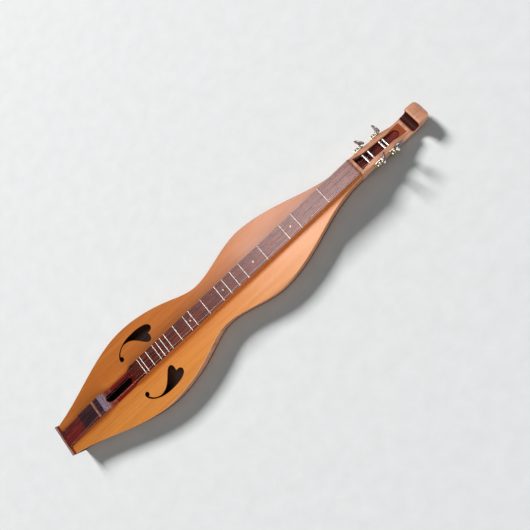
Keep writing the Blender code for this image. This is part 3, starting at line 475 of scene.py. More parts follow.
def top_wood():
    """Quarter-sawn top: straight growth rings, broad streaks of colour and faint silk."""
    g = Graph("top_wood")
    pale, mid, dark = rgb(228, 159, 77), rgb(215, 137, 53), rgb(191, 105, 34)
    drift = g.noise((2.2, 26, 10), 2, 0.5)
    across = g.axes()["Y"]
    ring = g.math("ADD", g.math("MULTIPLY", across, 1 / RING_PITCH),
                  g.math("MULTIPLY", drift, 12.0))
    ring = g.math("FRACT", ring)
    bands = g.noise((1.6, 60, 20), 3, 0.6, 0.2)
    streak = g.noise((6, 330, 60), 4, 0.62, 0.3)
    silk = g.noise((60, 240, 90), 2, 0.5)
    fibre = g.noise((60, 2600, 900), 2, 0.6)
    grain = g.ramp(ring, (0.0, pale), (0.50, mid), (0.84, dark), (0.95, dark), (1.0, pale))
    grain = g.mix(g.between(bands, 0.3, 0.7, 0.75, 0.40), grain, mid)
    tint = g.ramp(streak, (0.30, (0.80, 0.66, 0.50, 1)), (0.50, WHITE),
                  (0.70, (1.08, 1.14, 1.24, 1)))
    colour = g.mix(0.65, grain, tint, "MULTIPLY")
    broad = g.ramp(bands, (0.28, (0.86, 0.80, 0.74, 1)), (0.72, (1.04, 1.05, 1.06, 1)))
    colour = g.times(colour, broad)
    colour = g.mix(g.between(silk, 0.50, 0.75, 0.0, 0.20), colour, pale)
    colour = g.mix(g.between(fibre, 0.30, 0.45, 0.20, 0.0), colour, dark)
    # Painted shade and reflected colour of the fretboard's side: a deeper amber strip on the
    # soundboard along the fretboard's -Y side.
    shade_beside_fretboard = g.between(across, -0.034, -FINGER_HALF, 0.0, 0.85)
    painted_amber_shade = g.times(colour, (0.78, 0.58, 0.36, 1))
    colour = g.mix(g.math("MULTIPLY", shade_beside_fretboard, shade_beside_fretboard), colour, painted_amber_shade)
    # Painted highlight on the soundboard's rounded outer edge.
    colour = g.mix(rim_highlight_mask(g), colour, rgb(240, 192, 146))
    # Painted shade on the walls of the hole under the strum slot.
    colour = g.mix(slot_shade_mask(g, 0.0010), colour, SLOT_SHADE)
    relief = g.math("ADD", g.math("MULTIPLY", ring, 0.6), g.math("MULTIPLY", fibre, 0.5))
    film = g.between(g.noise((9, 14, 9), 2, 0.5), 0.35, 0.65, 0.20, 0.36)
    return g.finish(Base_Color=colour, Roughness=g.between(fibre, 0.2, 0.8, 0.34, 0.46),
                    Normal=g.bump(relief, 0.00003), Coat_Weight=0.5, Coat_Roughness=film)


def rim_highlight_mask(g):
    """Near 1 on the soundboard's outer edge, which gets a painted pale highlight, and 0 on its face
    and in its holes.
    """
    tilt = g.math("ABSOLUTE", g.axes("Normal")["Z"])
    edge = g.between(tilt, 0.95, 0.45, 0.0, 0.85)
    axes = g.axes()
    outside = g.between(g.math("ABSOLUTE", axes["Y"]), HOLES_HALF_WIDTH, HOLES_HALF_WIDTH + 0.0005)
    away = g.math("ABSOLUTE", g.math("SUBTRACT", axes["X"], HOLES_STATION))
    beyond = g.between(away, HOLES_REACH, HOLES_REACH + 0.0005)
    return g.math("MULTIPLY", edge, g.math("MAXIMUM", outside, beyond))


def slot_shade_mask(g, reach):
    """1 on the walls of the strum slot, which get painted shade, and 0 elsewhere."""
    start, end, half = STRUM_SLOT
    axes = g.axes()
    along = g.math("SUBTRACT", axes["X"], (start + end) / 2)
    past = g.math("SUBTRACT", g.math("ABSOLUTE", along), (end - start) / 2 - half)
    past = g.math("MAXIMUM", past, 0.0)
    radius = g.math("ADD", g.math("MULTIPLY", past, past), g.math("MULTIPLY", axes["Y"], axes["Y"]))
    return g.between(g.math("SQRT", radius), half + reach, half + reach - 0.0001)


def hardwood(name, pale, mid, dark, streaks=(4, 170, 170), pores=0.5, gloss=0.42, coat=0.2):
    """Hardwood: wavy streaks, short dark pores and a satin film."""
    g = Graph(name)
    pit_colour = tuple(0.35 * value for value in rgb(*dark)[:3]) + (1,)
    wave = g.noise(tuple(scale * 0.3 for scale in streaks), 3, 0.6, 0.6)
    fine = g.noise(streaks, 5, 0.62, 0.35)
    pore = g.noise((110, 1900, 1900), 2, 0.5)
    grain = g.ramp(fine, (0.30, rgb(*dark)), (0.50, rgb(*mid)), (0.70, rgb(*pale)))
    broad = g.ramp(wave, (0.30, (0.76, 0.72, 0.70, 1)), (0.70, (1.04, 1.03, 1.02, 1)))
    pit = g.between(pore, 0.36, 0.44, 1.0, 0.0)
    colour = g.mix(g.math("MULTIPLY", pit, pores), g.times(grain, broad), pit_colour)
    rough = g.between(fine, 0.2, 0.8, gloss - 0.06, gloss + 0.08)
    relief = g.math("SUBTRACT", g.math("MULTIPLY", fine, 0.5), pit)
    return g.finish(Base_Color=colour, Roughness=rough, Normal=g.bump(relief, 0.00004),
                    Coat_Weight=coat, Coat_Roughness=0.28)


def head_wood():
    """The peghead's cherry, with painted shade in its recess, pocket and gouge."""
    g = hardwood("head_wood", (238, 182, 150), (228, 168, 133), (200, 136, 104))
    hollow_shade = g.add("Attribute", attribute_name="hollow_shade").outputs["Fac"]
    # Painted shade: the recess darker, and the pocket's floor and walls and the gouge darkest.
    tint = g.ramp(hollow_shade, (0.0, WHITE), (0.5, (0.52, 0.22, 0.08, 1)),
                  (0.8, (0.32, 0.10, 0.14, 1)), (1.0, (0.08, 0.04, 0.05, 1)))
    return g.finish(Base_Color=g.times(g.colour, tint),
                    Coat_Weight=g.between(hollow_shade, 0.50, 0.80, 0.2, 0.0),
                    Specular_IOR_Level=g.between(hollow_shade, 0.50, 0.80, 0.5, 0.1))


def back_wood():
    """The back: finished outside, and darkened by painted shade on its inner face inside the body.
    """
    g = hardwood("back_wood", (184, 124, 88), (158, 98, 66), (112, 62, 38))
    # Painted shade: the inner face, seen through the sound holes, is made nearly black.
    inside = g.between(g.axes()["Z"], BACK_TOP - 0.0003, BACK_TOP - 0.0001)
    painted_inner_shade = g.times(g.colour, (0.12, 0.11, 0.14, 1))
    return g.finish(Base_Color=g.mix(inside, g.colour, painted_inner_shade))


def base_wood():
    """The rail under the fretboard, orange on its flanks partly from a painted reflection of the
    soundboard, with painted shade on the walls of the strum slot.
    """
    g = hardwood("base_wood", (150, 42, 28), (116, 26, 21), (70, 13, 13), (4, 170, 170), 0.25,
                 0.34, 0.4)
    axes = g.axes()
    # The flanks' orange, paler toward the head, is partly the wood's own colour under its finish and
    # partly a painted reflection of the orange soundboard.
    flank_and_reflection = g.between(g.math("ABSOLUTE", axes["Y"]), FINGER_HALF - 0.0005,
                      FINGER_HALF - 0.0001, 0.0, 0.8)
    tone = g.mix(g.between(axes["X"], 0.0, 0.16), rgb(158, 56, 24), rgb(200, 116, 54))
    colour = g.mix(flank_and_reflection, g.colour, tone)
    # Painted shade on the walls of the strum slot.
    return g.finish(Base_Color=g.mix(slot_shade_mask(g, 0.0002), colour, SLOT_SHADE),
                    Coat_Weight=g.between(axes["X"], 0.0175, 0.0300, 0.4, 0.03),
                    Specular_IOR_Level=g.between(axes["X"], 0.0175, 0.0300, 0.5, 0.12))


def overlay_wood():
    """The fretted overlay: rosewood with a painted pale, greyer sheen that grows toward the nut."""
    g = hardwood("overlay_wood", (134, 62, 44), (86, 35, 27), (42, 15, 13), FINE_STREAKS, 0.8,
                 0.36, 0.35)
    # Painted sheen: the colour turns paler and greyer toward the nut, standing for the lamp's glare.
    sheen_reach = g.between(g.axes()["X"], 0.118, 0.62)
    painted_sheen = g.mix(0.28, g.times(g.colour, (2.3, 2.8, 3.3, 1)), rgb(136, 84, 76))
    return g.finish(Base_Color=g.mix(sheen_reach, g.colour, painted_sheen),
                    Coat_Weight=g.between(sheen_reach, 0.0, 1.0, 0.0, 0.36),
                    Specular_IOR_Level=g.between(sheen_reach, 0.0, 0.3, 0.08, 0.5))


def platform_wood():
    """The dark overlay under the bridge, rubbed to a cool sheen."""
    g = hardwood("platform_wood", (84, 42, 38), (56, 25, 24), (28, 12, 14), FINE_STREAKS, 0.3,
                 0.34, 0.0)
    return g.finish(Specular_IOR_Level=0.95, Specular_Tint=(0.74, 0.68, 1.0, 1))


def cap_wood():
    """The tail cap, with a painted highlight along its inner top edge."""
    g = hardwood("cap_wood", (150, 44, 30), (116, 28, 22), (70, 14, 13), gloss=0.34, coat=0.4)
    low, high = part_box("tail_cap")
    axes = g.axes()
    across = g.between(axes["X"], low.x - HOME + 0.0021, low.x - HOME + 0.0026)
    up = g.between(axes["Z"], high.z - 0.0026, high.z - 0.0014)
    glint_breakup = g.between(g.noise((500, 90, 500), 3), 0.25, 0.55, 0.55, 1.0)
    # Painted highlight: a pale line along the cap's inner top edge, broken up by noise.
    painted_glint = g.math("MULTIPLY", g.math("MULTIPLY", across, up), glint_breakup)
    return g.finish(Base_Color=g.mix(painted_glint, g.colour, rgb(182, 128, 116)))


def metal(name, colour, tarnish, rough):
    """Plated or polished metal with fine scratches and a little tarnish."""
    g = Graph(name)
    scratch = g.noise((500, 500, 500), 3, 0.6)
    cloud = g.noise((140, 140, 140), 4, 0.6, 0.4)
    tone = g.mix(g.between(cloud, 0.42, 0.72, 0.0, 0.6), colour, tarnish)
    shine = g.math("ADD", g.between(cloud, 0.3, 0.8, rough, rough + 0.14),
                   g.between(scratch, 0.3, 0.7, 0.0, 0.08))
    return g.finish(Base_Color=tone, Roughness=shine, Metallic=1.0,
                    Normal=g.bump(scratch, 0.00001))


def wound_wire():
    """Bass string: fine wrapping turns along X."""
    g = Graph("wound_wire")
    turn = g.math("SINE", g.math("MULTIPLY", g.axes()["X"], 2 * pi / WRAP_PITCH))
    cloud = g.noise((60, 400, 400), 3)
    tone = g.mix(g.between(cloud, 0.4, 0.7), (0.84, 0.66, 0.59, 1), (0.64, 0.48, 0.41, 1))
    return g.finish(Base_Color=tone, Roughness=g.between(cloud, 0.3, 0.7, 0.40, 0.52),
                    Metallic=1.0, Normal=g.bump(turn, 0.000006))


def pearl():
    """Mother of pearl: milky, with pink and green clouds."""
    g = Graph("pearl")
    cloud = g.noise((420, 300, 300), 3, 0.6, 1.5)
    colour = g.ramp(cloud, (0.30, (0.62, 0.72, 0.66, 1)), (0.50, (0.82, 0.80, 0.74, 1)),
                    (0.70, (0.84, 0.66, 0.68, 1)))
    return g.finish(Base_Color=colour, Roughness=g.between(cloud, 0.3, 0.7, 0.18, 0.30),
                    Coat_Weight=0.5, Coat_Roughness=0.1)


def make_materials():
    inner = ((150, 112, 76), (126, 90, 58), (96, 62, 38))
    made = [top_wood(), back_wood(), head_wood(), base_wood(), overlay_wood(), platform_wood(),
            cap_wood(), wound_wire(), pearl(), hardwood("inner_wood", *inner, coat=0.0, gloss=0.6)]
    made += [hardwood(name, *colours) for name, colours in PLAIN_WOODS.items()]
    made += [metal(name, *values) for name, values in METALS.items()]
    return {g.name: g.material for g in made}


# ---- shape helpers ----
def hermite(stations, x):
    """Value at x of the smooth curve through (station, value, slope) points."""
    low = stations[0]
    high = stations[-1]
    for first, second in zip(stations, stations[1:]):
        if x <= second[0]:
            low, high = first, second
            break
    else:
        return high[1]
    span = high[0] - low[0]
    t = max(0.0, (x - low[0]) / span)
    rise = (2 * t - 3) * t * t + 1
    start_slope = ((t - 2) * t + 1) * t * span * low[2]
    end_slope = (t - 1) * t * t * span * high[2]
    return rise * low[1] + (1 - rise) * high[1] + start_slope + end_slope


def spread(first, last, count):
    """Evenly spaced values from first to last, both included."""
    return [first + (last - first) * i / (count - 1) for i in range(count)]


def circle(count):
    """Angles evenly spaced round a full turn."""
    return spread(0, 2 * pi, count + 1)[:-1]


def clamp(value):
    return min(1.0, max(0.0, value))


def ease(t):
    """Cosine blend from 0 to 1."""
    return (1 - cos(pi * t)) / 2


def rectangle(half_x, half_y):
    return [(-half_x, -half_y), (half_x, -half_y), (half_x, half_y), (-half_x, half_y)]


def inset_half_width(x, inset):
    """Half width of the body outline after an inset square to the curve."""
    step = 0.001
    rise = hermite(BODY_CURVE, x + step) - hermite(BODY_CURVE, x - step)
    return hermite(BODY_CURVE, x) - inset * hypot(1, rise / (2 * step))


def bezier(start, first, second, end, count):
    """Points of a cubic curve, without its first point."""
    points = []
    for i in range(1, count + 1):
        t = i / count
        s = 1 - t
        weights = (s * s * s, 3 * s * s * t, 3 * s * t * t, t * t * t)
        controls = (start, first, second, end)
        points.append(tuple(sum(w * c[k] for w, c in zip(weights, controls)) for k in range(2)))
    return points


def polar(radius, angle):
    return radius * cos(angle), radius * sin(angle)


def arc(centre, radius, first, last, count):
    """Points round a centre between two angles in degrees."""
    around = [polar(radius, angle) for angle in spread(radians(first), radians(last), count)]
    return [(centre[0] + x, centre[1] + y) for x, y in around]


def evaluated_mesh(obj, name):
    """The object's mesh with its modifiers applied, after which the object is removed."""
    bpy.context.view_layer.update()
    graph = bpy.context.evaluated_depsgraph_get()
    mesh = bpy.data.meshes.new_from_object(obj.evaluated_get(graph))
    mesh.name = name
    bpy.data.objects.remove(obj)
    return mesh


def new_object(name, data):
    obj = bpy.data.objects.new(name, data)
    bpy.context.scene.collection.objects.link(obj)
    return obj


def finished_mesh(bm, name):
    """New mesh from an edited one, with its faces turned outward."""
    bmesh.ops.recalc_face_normals(bm, faces=bm.faces)
    mesh = bpy.data.meshes.new(name)
    bm.to_mesh(mesh)
    bm.free()
    return mesh


def plate_mesh(name, outlines, low, high, edge, turn=None):
    """Flat piece from closed outlines, the first outside and the rest holes, with round edges.

    The outlines lie in XY and the piece runs from low to high along Z. turn is a matrix
    that stands it up afterwards.
    """
    curve = bpy.data.curves.new(name, "CURVE")
    curve.dimensions = "2D"
    curve.fill_mode = "BOTH"
    curve.extrude = (high - low) / 2 - edge
    curve.bevel_depth = edge
    curve.bevel_resolution = 2
    curve.offset = -edge
    for outline in outlines:
        spline = curve.splines.new("POLY")
        spline.points.add(len(outline) - 1)
        spline.use_cyclic_u = True
        for point, (x, y) in zip(spline.points, outline):
            point.co = (x, y, 0, 1)
    flat = evaluated_mesh(new_object(name, curve), name)
    bm = bmesh.new()
    bm.from_mesh(flat)
    bpy.data.meshes.remove(flat)
    bmesh.ops.translate(bm, verts=bm.verts, vec=(0, 0, (low + high) / 2))
    bmesh.ops.remove_doubles(bm, verts=bm.verts, dist=1e-6)
    if turn is not None:
        bmesh.ops.transform(bm, matrix=turn, verts=bm.verts)
    return finished_mesh(bm, name)


# Stands an outline drawn as (x, z) up in the XZ plane, with its depth along -Y.
STAND = Matrix(((1, 0, 0, 0), (0, 0, -1, 0), (0, 1, 0, 0), (0, 0, 0, 1)))


def loft_mesh(name, sections):
    """Skin a list of closed sections that have equal point counts, and cap both ends."""
    bm = bmesh.new()
    rings = [[bm.verts.new(point) for point in section] for section in sections]
    for ring, following in zip(rings, rings[1:]):
        for i in range(len(ring)):
            j = (i + 1) % len(ring)
            bm.faces.new((ring[i], ring[j], following[j], following[i]))
    bm.faces.new(rings[0])
    bm.faces.new(rings[-1])
    return finished_mesh(bm, name)


def lathe_mesh(name, profile, segments, axis="Z"):
    """Turn a profile of (radius, height) steps about an axis, with flat ends."""
    turn = Matrix.Rotation(radians(-90), 3, "X") if axis == "Y" else Matrix.Identity(3)
    return loft_mesh(name, [[turn @ Vector((*polar(radius, a), height)) for a in circle(segments)]
                            for radius, height in profile])


def cut(mesh, tools, operation="DIFFERENCE"):
    """Boolean of a mesh with several tool meshes."""
    name = mesh.name
    body = new_object(name, mesh)
    cutters = []
    for index, tool in enumerate(tools):
        cutter = new_object("tool_%d" % index, tool)
        modifier = body.modifiers.new("cut", "BOOLEAN")
        modifier.object = cutter
        modifier.operation = operation
        modifier.solver = "EXACT"
        cutters.append(cutter)
    result = evaluated_mesh(body, name)
    for cutter in cutters:
        bpy.data.objects.remove(cutter)
    return result


def place(name, mesh, material, replaces=(), body="instrument", location=None, angle=35):
    """Show a mesh as a piece that rides on a body and may stand for CAD nodes."""
    obj = new_object(name, mesh)
    obj.location = (HOME, 0, 0) if location is None else location
    mesh.materials.clear()
    mesh.materials.append(MATERIALS[material])
    mesh.shade_smooth()
    mesh.set_sharp_from_angle(angle=radians(angle))
    weighted = obj.modifiers.new("shading", "WEIGHTED_NORMAL")
    weighted.keep_sharp = True
    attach(obj, body)
    if replaces:
        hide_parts(*replaces)
    return obj


# ---- body ----
def body_outline(inset, start, end, count):
    stations = spread(start, end, count)
    left = [(x, inset_half_width(x, inset)) for x in stations]
    return left + [(x, -y) for x, y in reversed(left)]


def sound_hole_outline(side, steps=18):
    """Flourish heart: a ball, a long tail and two lobes."""
    points = arc(HOLE_BALL, HOLE_BALL_RADIUS, *HOLE_BALL_ARC, steps)
    end = points[0]
    for first_handle, second_handle, knot in HOLE_CURVE:
        points += bezier(points[-1], first_handle, second_handle, knot, steps)
    points += bezier(points[-1], *HOLE_RETURN, end, steps)[:-1]
    return [(x, side * y) for x, y in points]


def slot_outline(start, end, half, steps=14):
    """Stadium that runs along X."""
    first = arc((end - half, 0), half, -90, 90, steps)
    return first + arc((start + half, 0), half, 90, 270, steps)


def make_body():
    outline = body_outline(0, BODY_START, NECK_JOINT, 320)
    start, end, half = STRUM_SLOT
    under_slot = slot_outline(start - SLOT_STEP, end + SLOT_STEP, half + SLOT_STEP)
    shapes = [outline, sound_hole_outline(1), sound_hole_outline(-1), under_slot]
    board = plate_mesh("top_board", shapes, BOARD_BOTTOM, BOARD_TOP, 0.0008)
    place("top_board", board, "top_wood", ["soundboard"])
    back = plate_mesh("back_board", [outline], 0, BACK_TOP, 0.0006)
    place("back_board", back, "back_wood", ["back_panel"])
    for name, side in (("left", 1), ("right", -1)):
        sections = []
        for x in spread(BODY_START, NECK_JOINT, 300):
            outer = side * inset_half_width(x, OVERHANG)
            inner = side * inset_half_width(x, OVERHANG + SIDE_THICKNESS)
            sections.append([(x, outer, SIDE_BOTTOM), (x, outer, SIDE_TOP),
                             (x, inner, SIDE_TOP), (x, inner, SIDE_BOTTOM)])
        place("rib_" + name, loft_mesh("rib_" + name, sections), "body_wood", ["side_" + name])
    low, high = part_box("tail_cap")
    outline = [(low.x - HOME, low.z + GAP)]
    outline += arc((low.x - HOME + 0.001, high.z - 0.001), 0.001, 180, 90, 8)
    outline += arc((high.x - HOME - 0.0022, high.z - 0.0022), 0.0022, 90, 0, 14)
    outline.append((high.x - HOME, low.z + GAP))
    place("end_cap", stand_up("end_cap", outline, high.y, 0.0007), "cap_wood", ["tail_cap"])


# ---- fretboard ----
def hollow_station(ends, level):
    """Station at which one end of the strum hollow passes a level."""
    rim, foot = ends
    for _ in range(40):
        middle = (rim + foot) / 2
        if hermite(HOLLOW_CURVE, middle) >= level:
            rim = middle
        else:
            foot = middle
    return rim


def hollow_points(ends, top, bottom, count=26):
    """One end of the strum hollow between two levels, from its top down."""
    first = hollow_station(ends, top)
    last = hollow_station(ends, bottom)
    return [(x, hermite(HOLLOW_CURVE, x)) for x in spread(first, last, count)]


def fret_stations():
    return [SCALE_LENGTH * 2 ** (-semitones / 12) for semitones in FRET_SEMITONES]


def stand_up(name, outline, half, edge):
    """Prism of an (x, z) outline across the fretboard, with rounded long edges."""
    return plate_mesh(name, [outline], -half, half, edge, STAND)


def make_fretboard():
    outline = [(BODY_START, BASE_BOTTOM), (NUT_BACK, BASE_BOTTOM), (NUT_BACK, BASE_TOP)]
    outline += hollow_points(HOLLOW_HEAD, BASE_TOP, HOLLOW_FLOOR)
    outline += reversed(hollow_points(HOLLOW_TAIL, BASE_TOP, HOLLOW_FLOOR))
    start, end = TAIL_DECK_RAMP
    for t in spread(0, 1, 20):
        drop = (BASE_TOP - TAIL_DECK_TOP) * sin(pi * t / 2)
        outline.append((start + (end - start) * t, BASE_TOP - drop))
    outline.append((BODY_START, TAIL_DECK_TOP))
    base = stand_up("fretboard_core", outline, FINGER_HALF, 0.0004)
    slot = plate_mesh("slot", [slot_outline(*STRUM_SLOT)], BOARD_BOTTOM, BASE_TOP, 0.0)
    place("fretboard_core", cut(base, [slot]), "base_wood", ["fretboard_base"])

    bottom = FINGER_TOP - OVERLAY_THICKNESS
    outline = [(OVERLAY_END, bottom), (OVERLAY_END, FINGER_TOP)]
    for x in fret_stations():
        outline += notch(x, -FRET_SLOT_HALF, FINGER_TOP - FRET_SLOT_DEPTH)
    outline += hollow_points(HOLLOW_HEAD, FINGER_TOP, bottom, 14)
    overlay = stand_up("fingerboard", outline, FINGER_HALF, 0.0)
    place("fingerboard", overlay, "overlay_wood", ["fretboard_overlay"])

    start, shoulder, drop = PLATFORM
    outline = [(start, bottom)]
    for x in spread(start, shoulder, 14):
        reach = (shoulder - x) / (shoulder - start)
        outline.append((x, FINGER_TOP - drop * reach * reach))
    outline += notch(BRIDGE_STATION, BRIDGE_HALF + GAP / 2, BRIDGE_SEAT)
    outline += hollow_points(HOLLOW_TAIL, FINGER_TOP, bottom, 14)
    platform = stand_up("platform", outline, FINGER_HALF, 0.0)
    place("platform", platform, "platform_wood", ["tail_overlay"])


def notch(x, half, floor):
    """Four points of a slot down from the fretboard's top, toward +X where half is positive."""
    return [(x - half, FINGER_TOP), (x - half, floor), (x + half, floor), (x + half, FINGER_TOP)]


def make_frets():
    """Crowned wire on a tang, with filed ends."""
    half = FINGER_HALF - 0.0002
    ends = ((1.0, 0.10), (0.992, 0.45), (0.982, 0.80), (0.970, 1.0))
    for number, x in enumerate(fret_stations(), 1):
        sections = []
        for reach, size in [(-a, b) for a, b in ends] + [(a, b) for a, b in reversed(ends)]:
            wide = FRET_HALF * (0.6 + 0.4 * size)
            ring = [(x + wide * cos(a), FINGER_TOP + FRET_CROWN * size * sin(a))
                    for a in spread(0, pi, 13)]
            ring += notch(x, TANG_HALF, TANG_FOOT)
            sections.append([(station, reach * half, z) for station, z in ring])
        name = "fret_wire_%02d" % number
        place(name, loft_mesh(name, sections), "fret_nickel", ["fret_%02d" % number])


def make_dots():
    """Pearl dots in four fret spaces, let into the fingerboard."""
    stations = [SCALE_LENGTH] + fret_stations()
    profile = [(DOT_RADIUS, -0.0008), (DOT_RADIUS, 0.00004), (DOT_RADIUS * 0.94, 0.00009)]
    for number, fret in enumerate(DOT_SPACES, 1):
        x = (stations[fret - 1] + stations[fret]) / 2
        name = "position_dot_%d" % number
        place(name, lathe_mesh(name, profile, 40), "pearl", location=(HOME + x, 0, FINGER_TOP))


def groove_tools(station, height, key):
    """Cylinders along X that cut the string slots in the nut or the bridge."""
    tools = []
    for string in STRINGS:
        radius = string[0] + 0.00012
        centre = height + string[0] - STRING_SEAT
        ring = arc((string[key], centre), radius, 0, 360, 15)[:-1]
        ends = [[(x, y, z) for y, z in ring] for x in (station - 0.006, station + 0.006)]
        tools.append(loft_mesh("groove", ends))
    return tools


def make_nut_and_bridge():
    bottom = BASE_TOP + GAP
    outline = [(NUT_FRONT, bottom), (NUT_FRONT, NUT_TOP - 0.0009),
               (NUT_FRONT + 0.0003, NUT_TOP - 0.0002), (NUT_FRONT + 0.0008, NUT_TOP),
               (SCALE_LENGTH, NUT_TOP), (SCALE_LENGTH + 0.001, NUT_TOP - 0.0007),
               (NUT_BACK, NUT_TOP - 0.0019), (NUT_BACK, bottom)]
    nut = stand_up("nut_bar", outline, FINGER_HALF, 0.0002)
    nut = cut(nut, groove_tools(SCALE_LENGTH, NUT_TOP, 3))
    place("nut_bar", nut, "nut_wood", ["nut"])
    bottom = BRIDGE_SEAT + GAP
    outline = [(BRIDGE_STATION - BRIDGE_HALF, bottom)]
    outline += [(BRIDGE_STATION + BRIDGE_HALF * cos(a),
                 BRIDGE_TOP - 0.0014 * (1 - sin(a))) for a in spread(pi, 0, 11)]
    outline.append((BRIDGE_STATION + BRIDGE_HALF, bottom))
    bridge = stand_up("saddle", outline, FINGER_HALF - GAP, 0.0)
    bridge = cut(bridge, groove_tools(BRIDGE_STATION, BRIDGE_TOP, 2))
    place("saddle", bridge, "bridge_wood", ["bridge"])


# ---- strings ----
def tube(name, points, radius, material, replaces=(), body="instrument"):
    """Round wire along a list of points in stations."""
    curve = bpy.data.curves.new(name, "CURVE")
    curve.dimensions = "3D"
    curve.bevel_depth = radius
    curve.bevel_resolution = 2
    curve.use_fill_caps = True
    spline = curve.splines.new("POLY")
    spline.points.add(len(points) - 1)
    for point, (x, y, z) in zip(spline.points, points):
        point.co = (x + HOME, y, z, 1)
    mesh = evaluated_mesh(new_object(name, curve), name)
    place(name, mesh, material, replaces, body, (0, 0, 0), 80)


def post_tangent(nut_point, string, tuner):
    """Where the string first touches its turns on the post, and the angle of that point."""
    radius = POST_RADIUS + string[0] + COIL_CLEARANCE
    dx = tuner[0] - nut_point[0]
    dz = tuner[1] - nut_point[2]
    distance = hypot(dx, dz)
    direction = atan2(dz, dx) + asin(radius / distance)
    length = sqrt(distance * distance - radius * radius)
    x = nut_point[0] + length * cos(direction)
    z = nut_point[2] + length * sin(direction)
    return (x, string[4], z), atan2(z - tuner[1], x - tuner[0])


def coil_way(string):
    """Direction in which a string's turns run along the post: away from its outer end."""
    return -1 if string[4] > 0 else 1


def make_strings():
    for index, (string, tuner) in enumerate(zip(STRINGS, TUNERS), 1):
        radius, tail_y, bridge_y, nut_y = string[:4]
        name = "string_%d" % index
        material = "wound_wire" if index == len(STRINGS) else "wire"
        around = HITCH_RADIUS + radius + 0.0001
        pin_y = tail_y - around
        leave = (HITCH_STATION + LOOP_LENGTH, pin_y + around * 0.6)
        loop = arc((HITCH_STATION, pin_y), around, -30, -330, 32)
        nut_point = (SCALE_LENGTH, nut_y, NUT_TOP + radius - STRING_SEAT)
        post_point, angle = post_tangent(nut_point, string, tuner)
        run = [(x, y, HITCH_HEIGHT) for x, y in loop] + [
            (*leave, HITCH_HEIGHT + 0.0004),
            (BRIDGE_STATION, bridge_y, BRIDGE_TOP + radius - STRING_SEAT), nut_point, post_point]
        tube(name + "_run", run, radius, material, [name])
        twist = []
        for t in spread(0, 1, 140):
            turn = t * TWIST_TURNS * 2 * pi
            x = loop[-1][0] + 0.0022 + TWIST_LENGTH * t
            y = leave[1] + (bridge_y - pin_y) * (x - leave[0]) / 0.1
            z = HITCH_HEIGHT + 0.0003 + 0.12 * (x - leave[0])
            twist.append((x, y + 2 * radius * cos(turn), z + 2 * radius * sin(turn)))
        tube(name + "_twist", twist, radius * 0.9, "wire")
        make_coil(name + "_coil", string, tuner, angle, material, "winder_%d" % index)
        make_hitch_pin(index, pin_y)


def make_coil(name, string, tuner, angle, material, body):
    """Turns of a string on its post, the last one tucked in toward the post's eye."""
    radius = string[0]
    ring = POST_RADIUS + radius + COIL_CLEARANCE
    coil = []
    for turn in spread(0, COIL_TURNS * 2 * pi, 150):
        y = string[4] + coil_way(string) * COIL_PITCH * radius * turn / (2 * pi)
        coil.append((tuner[0] + ring * cos(angle - turn), y,
                     tuner[1] + ring * sin(angle - turn)))
    x, y, z = coil[-1]
    coil.append((tuner[0] + 0.4 * (x - tuner[0]), y, tuner[1] + 0.4 * (z - tuner[1])))
    tube(name, coil, radius, material, (), body)


def make_hitch_pin(index, y):
    """Brad with a low domed head."""
    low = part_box("hitch_pin_%d" % index)[0].z
    top = HITCH_HEIGHT + 0.0010
    profile = [(HITCH_RADIUS, low), (HITCH_RADIUS, top), (HITCH_RADIUS + 0.0006, top + 0.0002),
               (HITCH_RADIUS + 0.0007, top + 0.0005), (HITCH_RADIUS + 0.0004, top + 0.0009),
               (HITCH_RADIUS * 0.5, top + 0.0011)]
    name = "hitch_brad_%d" % index
    place(name, lathe_mesh(name, profile, 32), "old_steel", ["hitch_pin_%d" % index],
          location=(HOME + HITCH_STATION, y, 0))


# ---- peghead ----
def head_section(x):
    """Closed section across the peghead, as points in the plane square to X."""
    top = hermite(HEAD_TOP_CURVE, x)
    bottom = hermite(HEAD_BOTTOM_CURVE, x)
    height = top - bottom
    wide = hermite(HEAD_WIDTH_CURVE, x)
    narrow = hermite(HEAD_TOP_WIDTH_CURVE, x)
    corner = min(HEAD_CORNER, 0.3 * height)
    edge = min(HEAD_EDGE, 0.1 * height)
    shoulder = top - min(hermite(HEAD_FLANK_CURVE, x), 0.6 * height) - edge
    half = []
    for angle in spread(0, pi / 2, 8):
        half.append((wide - corner + corner * sin(angle),
                     bottom + corner - corner * cos(angle)))
    for t in spread(0, 1, 12):
        half.append((wide + (narrow - wide) * ease(t), shoulder + (top - edge - shoulder) * t))
    half.append((narrow - edge, top))
    ring = half + [(-y, z) for y, z in reversed(half)]
    return [(x, y, z) for y, z in ring]


def head_tools():
    end_x, end_half = POCKET_CURVE[-1][:2]
    left = [(x, hermite(POCKET_CURVE, x)) for x in spread(POCKET_CURVE[0][0], end_x, 40)]
    right = [(x, -y) for x, y in reversed(left)]
    outline = left + arc((end_x, 0), end_half, 90, -90, 24)[1:-1] + right
    tools = [plate_mesh("pocket", [outline], POCKET_FLOOR, CLEAR, 0.0)]
    sections = []
    for x, depth, half in RECESS:
        floor = hermite(HEAD_TOP_CURVE, x) - depth
        sections.append([(x, -half, floor), (x, half, floor), (x, half, CLEAR), (x, -half, CLEAR)])
    tools.append(loft_mesh("recess", sections))
    station, height, radius = GOUGE
    outline = [(station + radius - GOUGE_LEAN, GOUGE_TOP)]
    outline += arc((station, height), radius, 0, -180, 40)
    outline.append((station - radius, GOUGE_TOP))
    tools.append(stand_up("gouge", outline, 0.030, 0.0))
    for x, z, side, _ in TUNERS:
        ends = sorted((-side * (POST_FAR_END + BORE_SLACK), side * 0.025))
        hole = lathe_mesh("bore", [(POST_RADIUS + BORE_SLACK, y) for y in ends], 40, "Y")
        hole.transform(Matrix.Translation((x, 0, z)))
        tools.append(hole)
    return tools


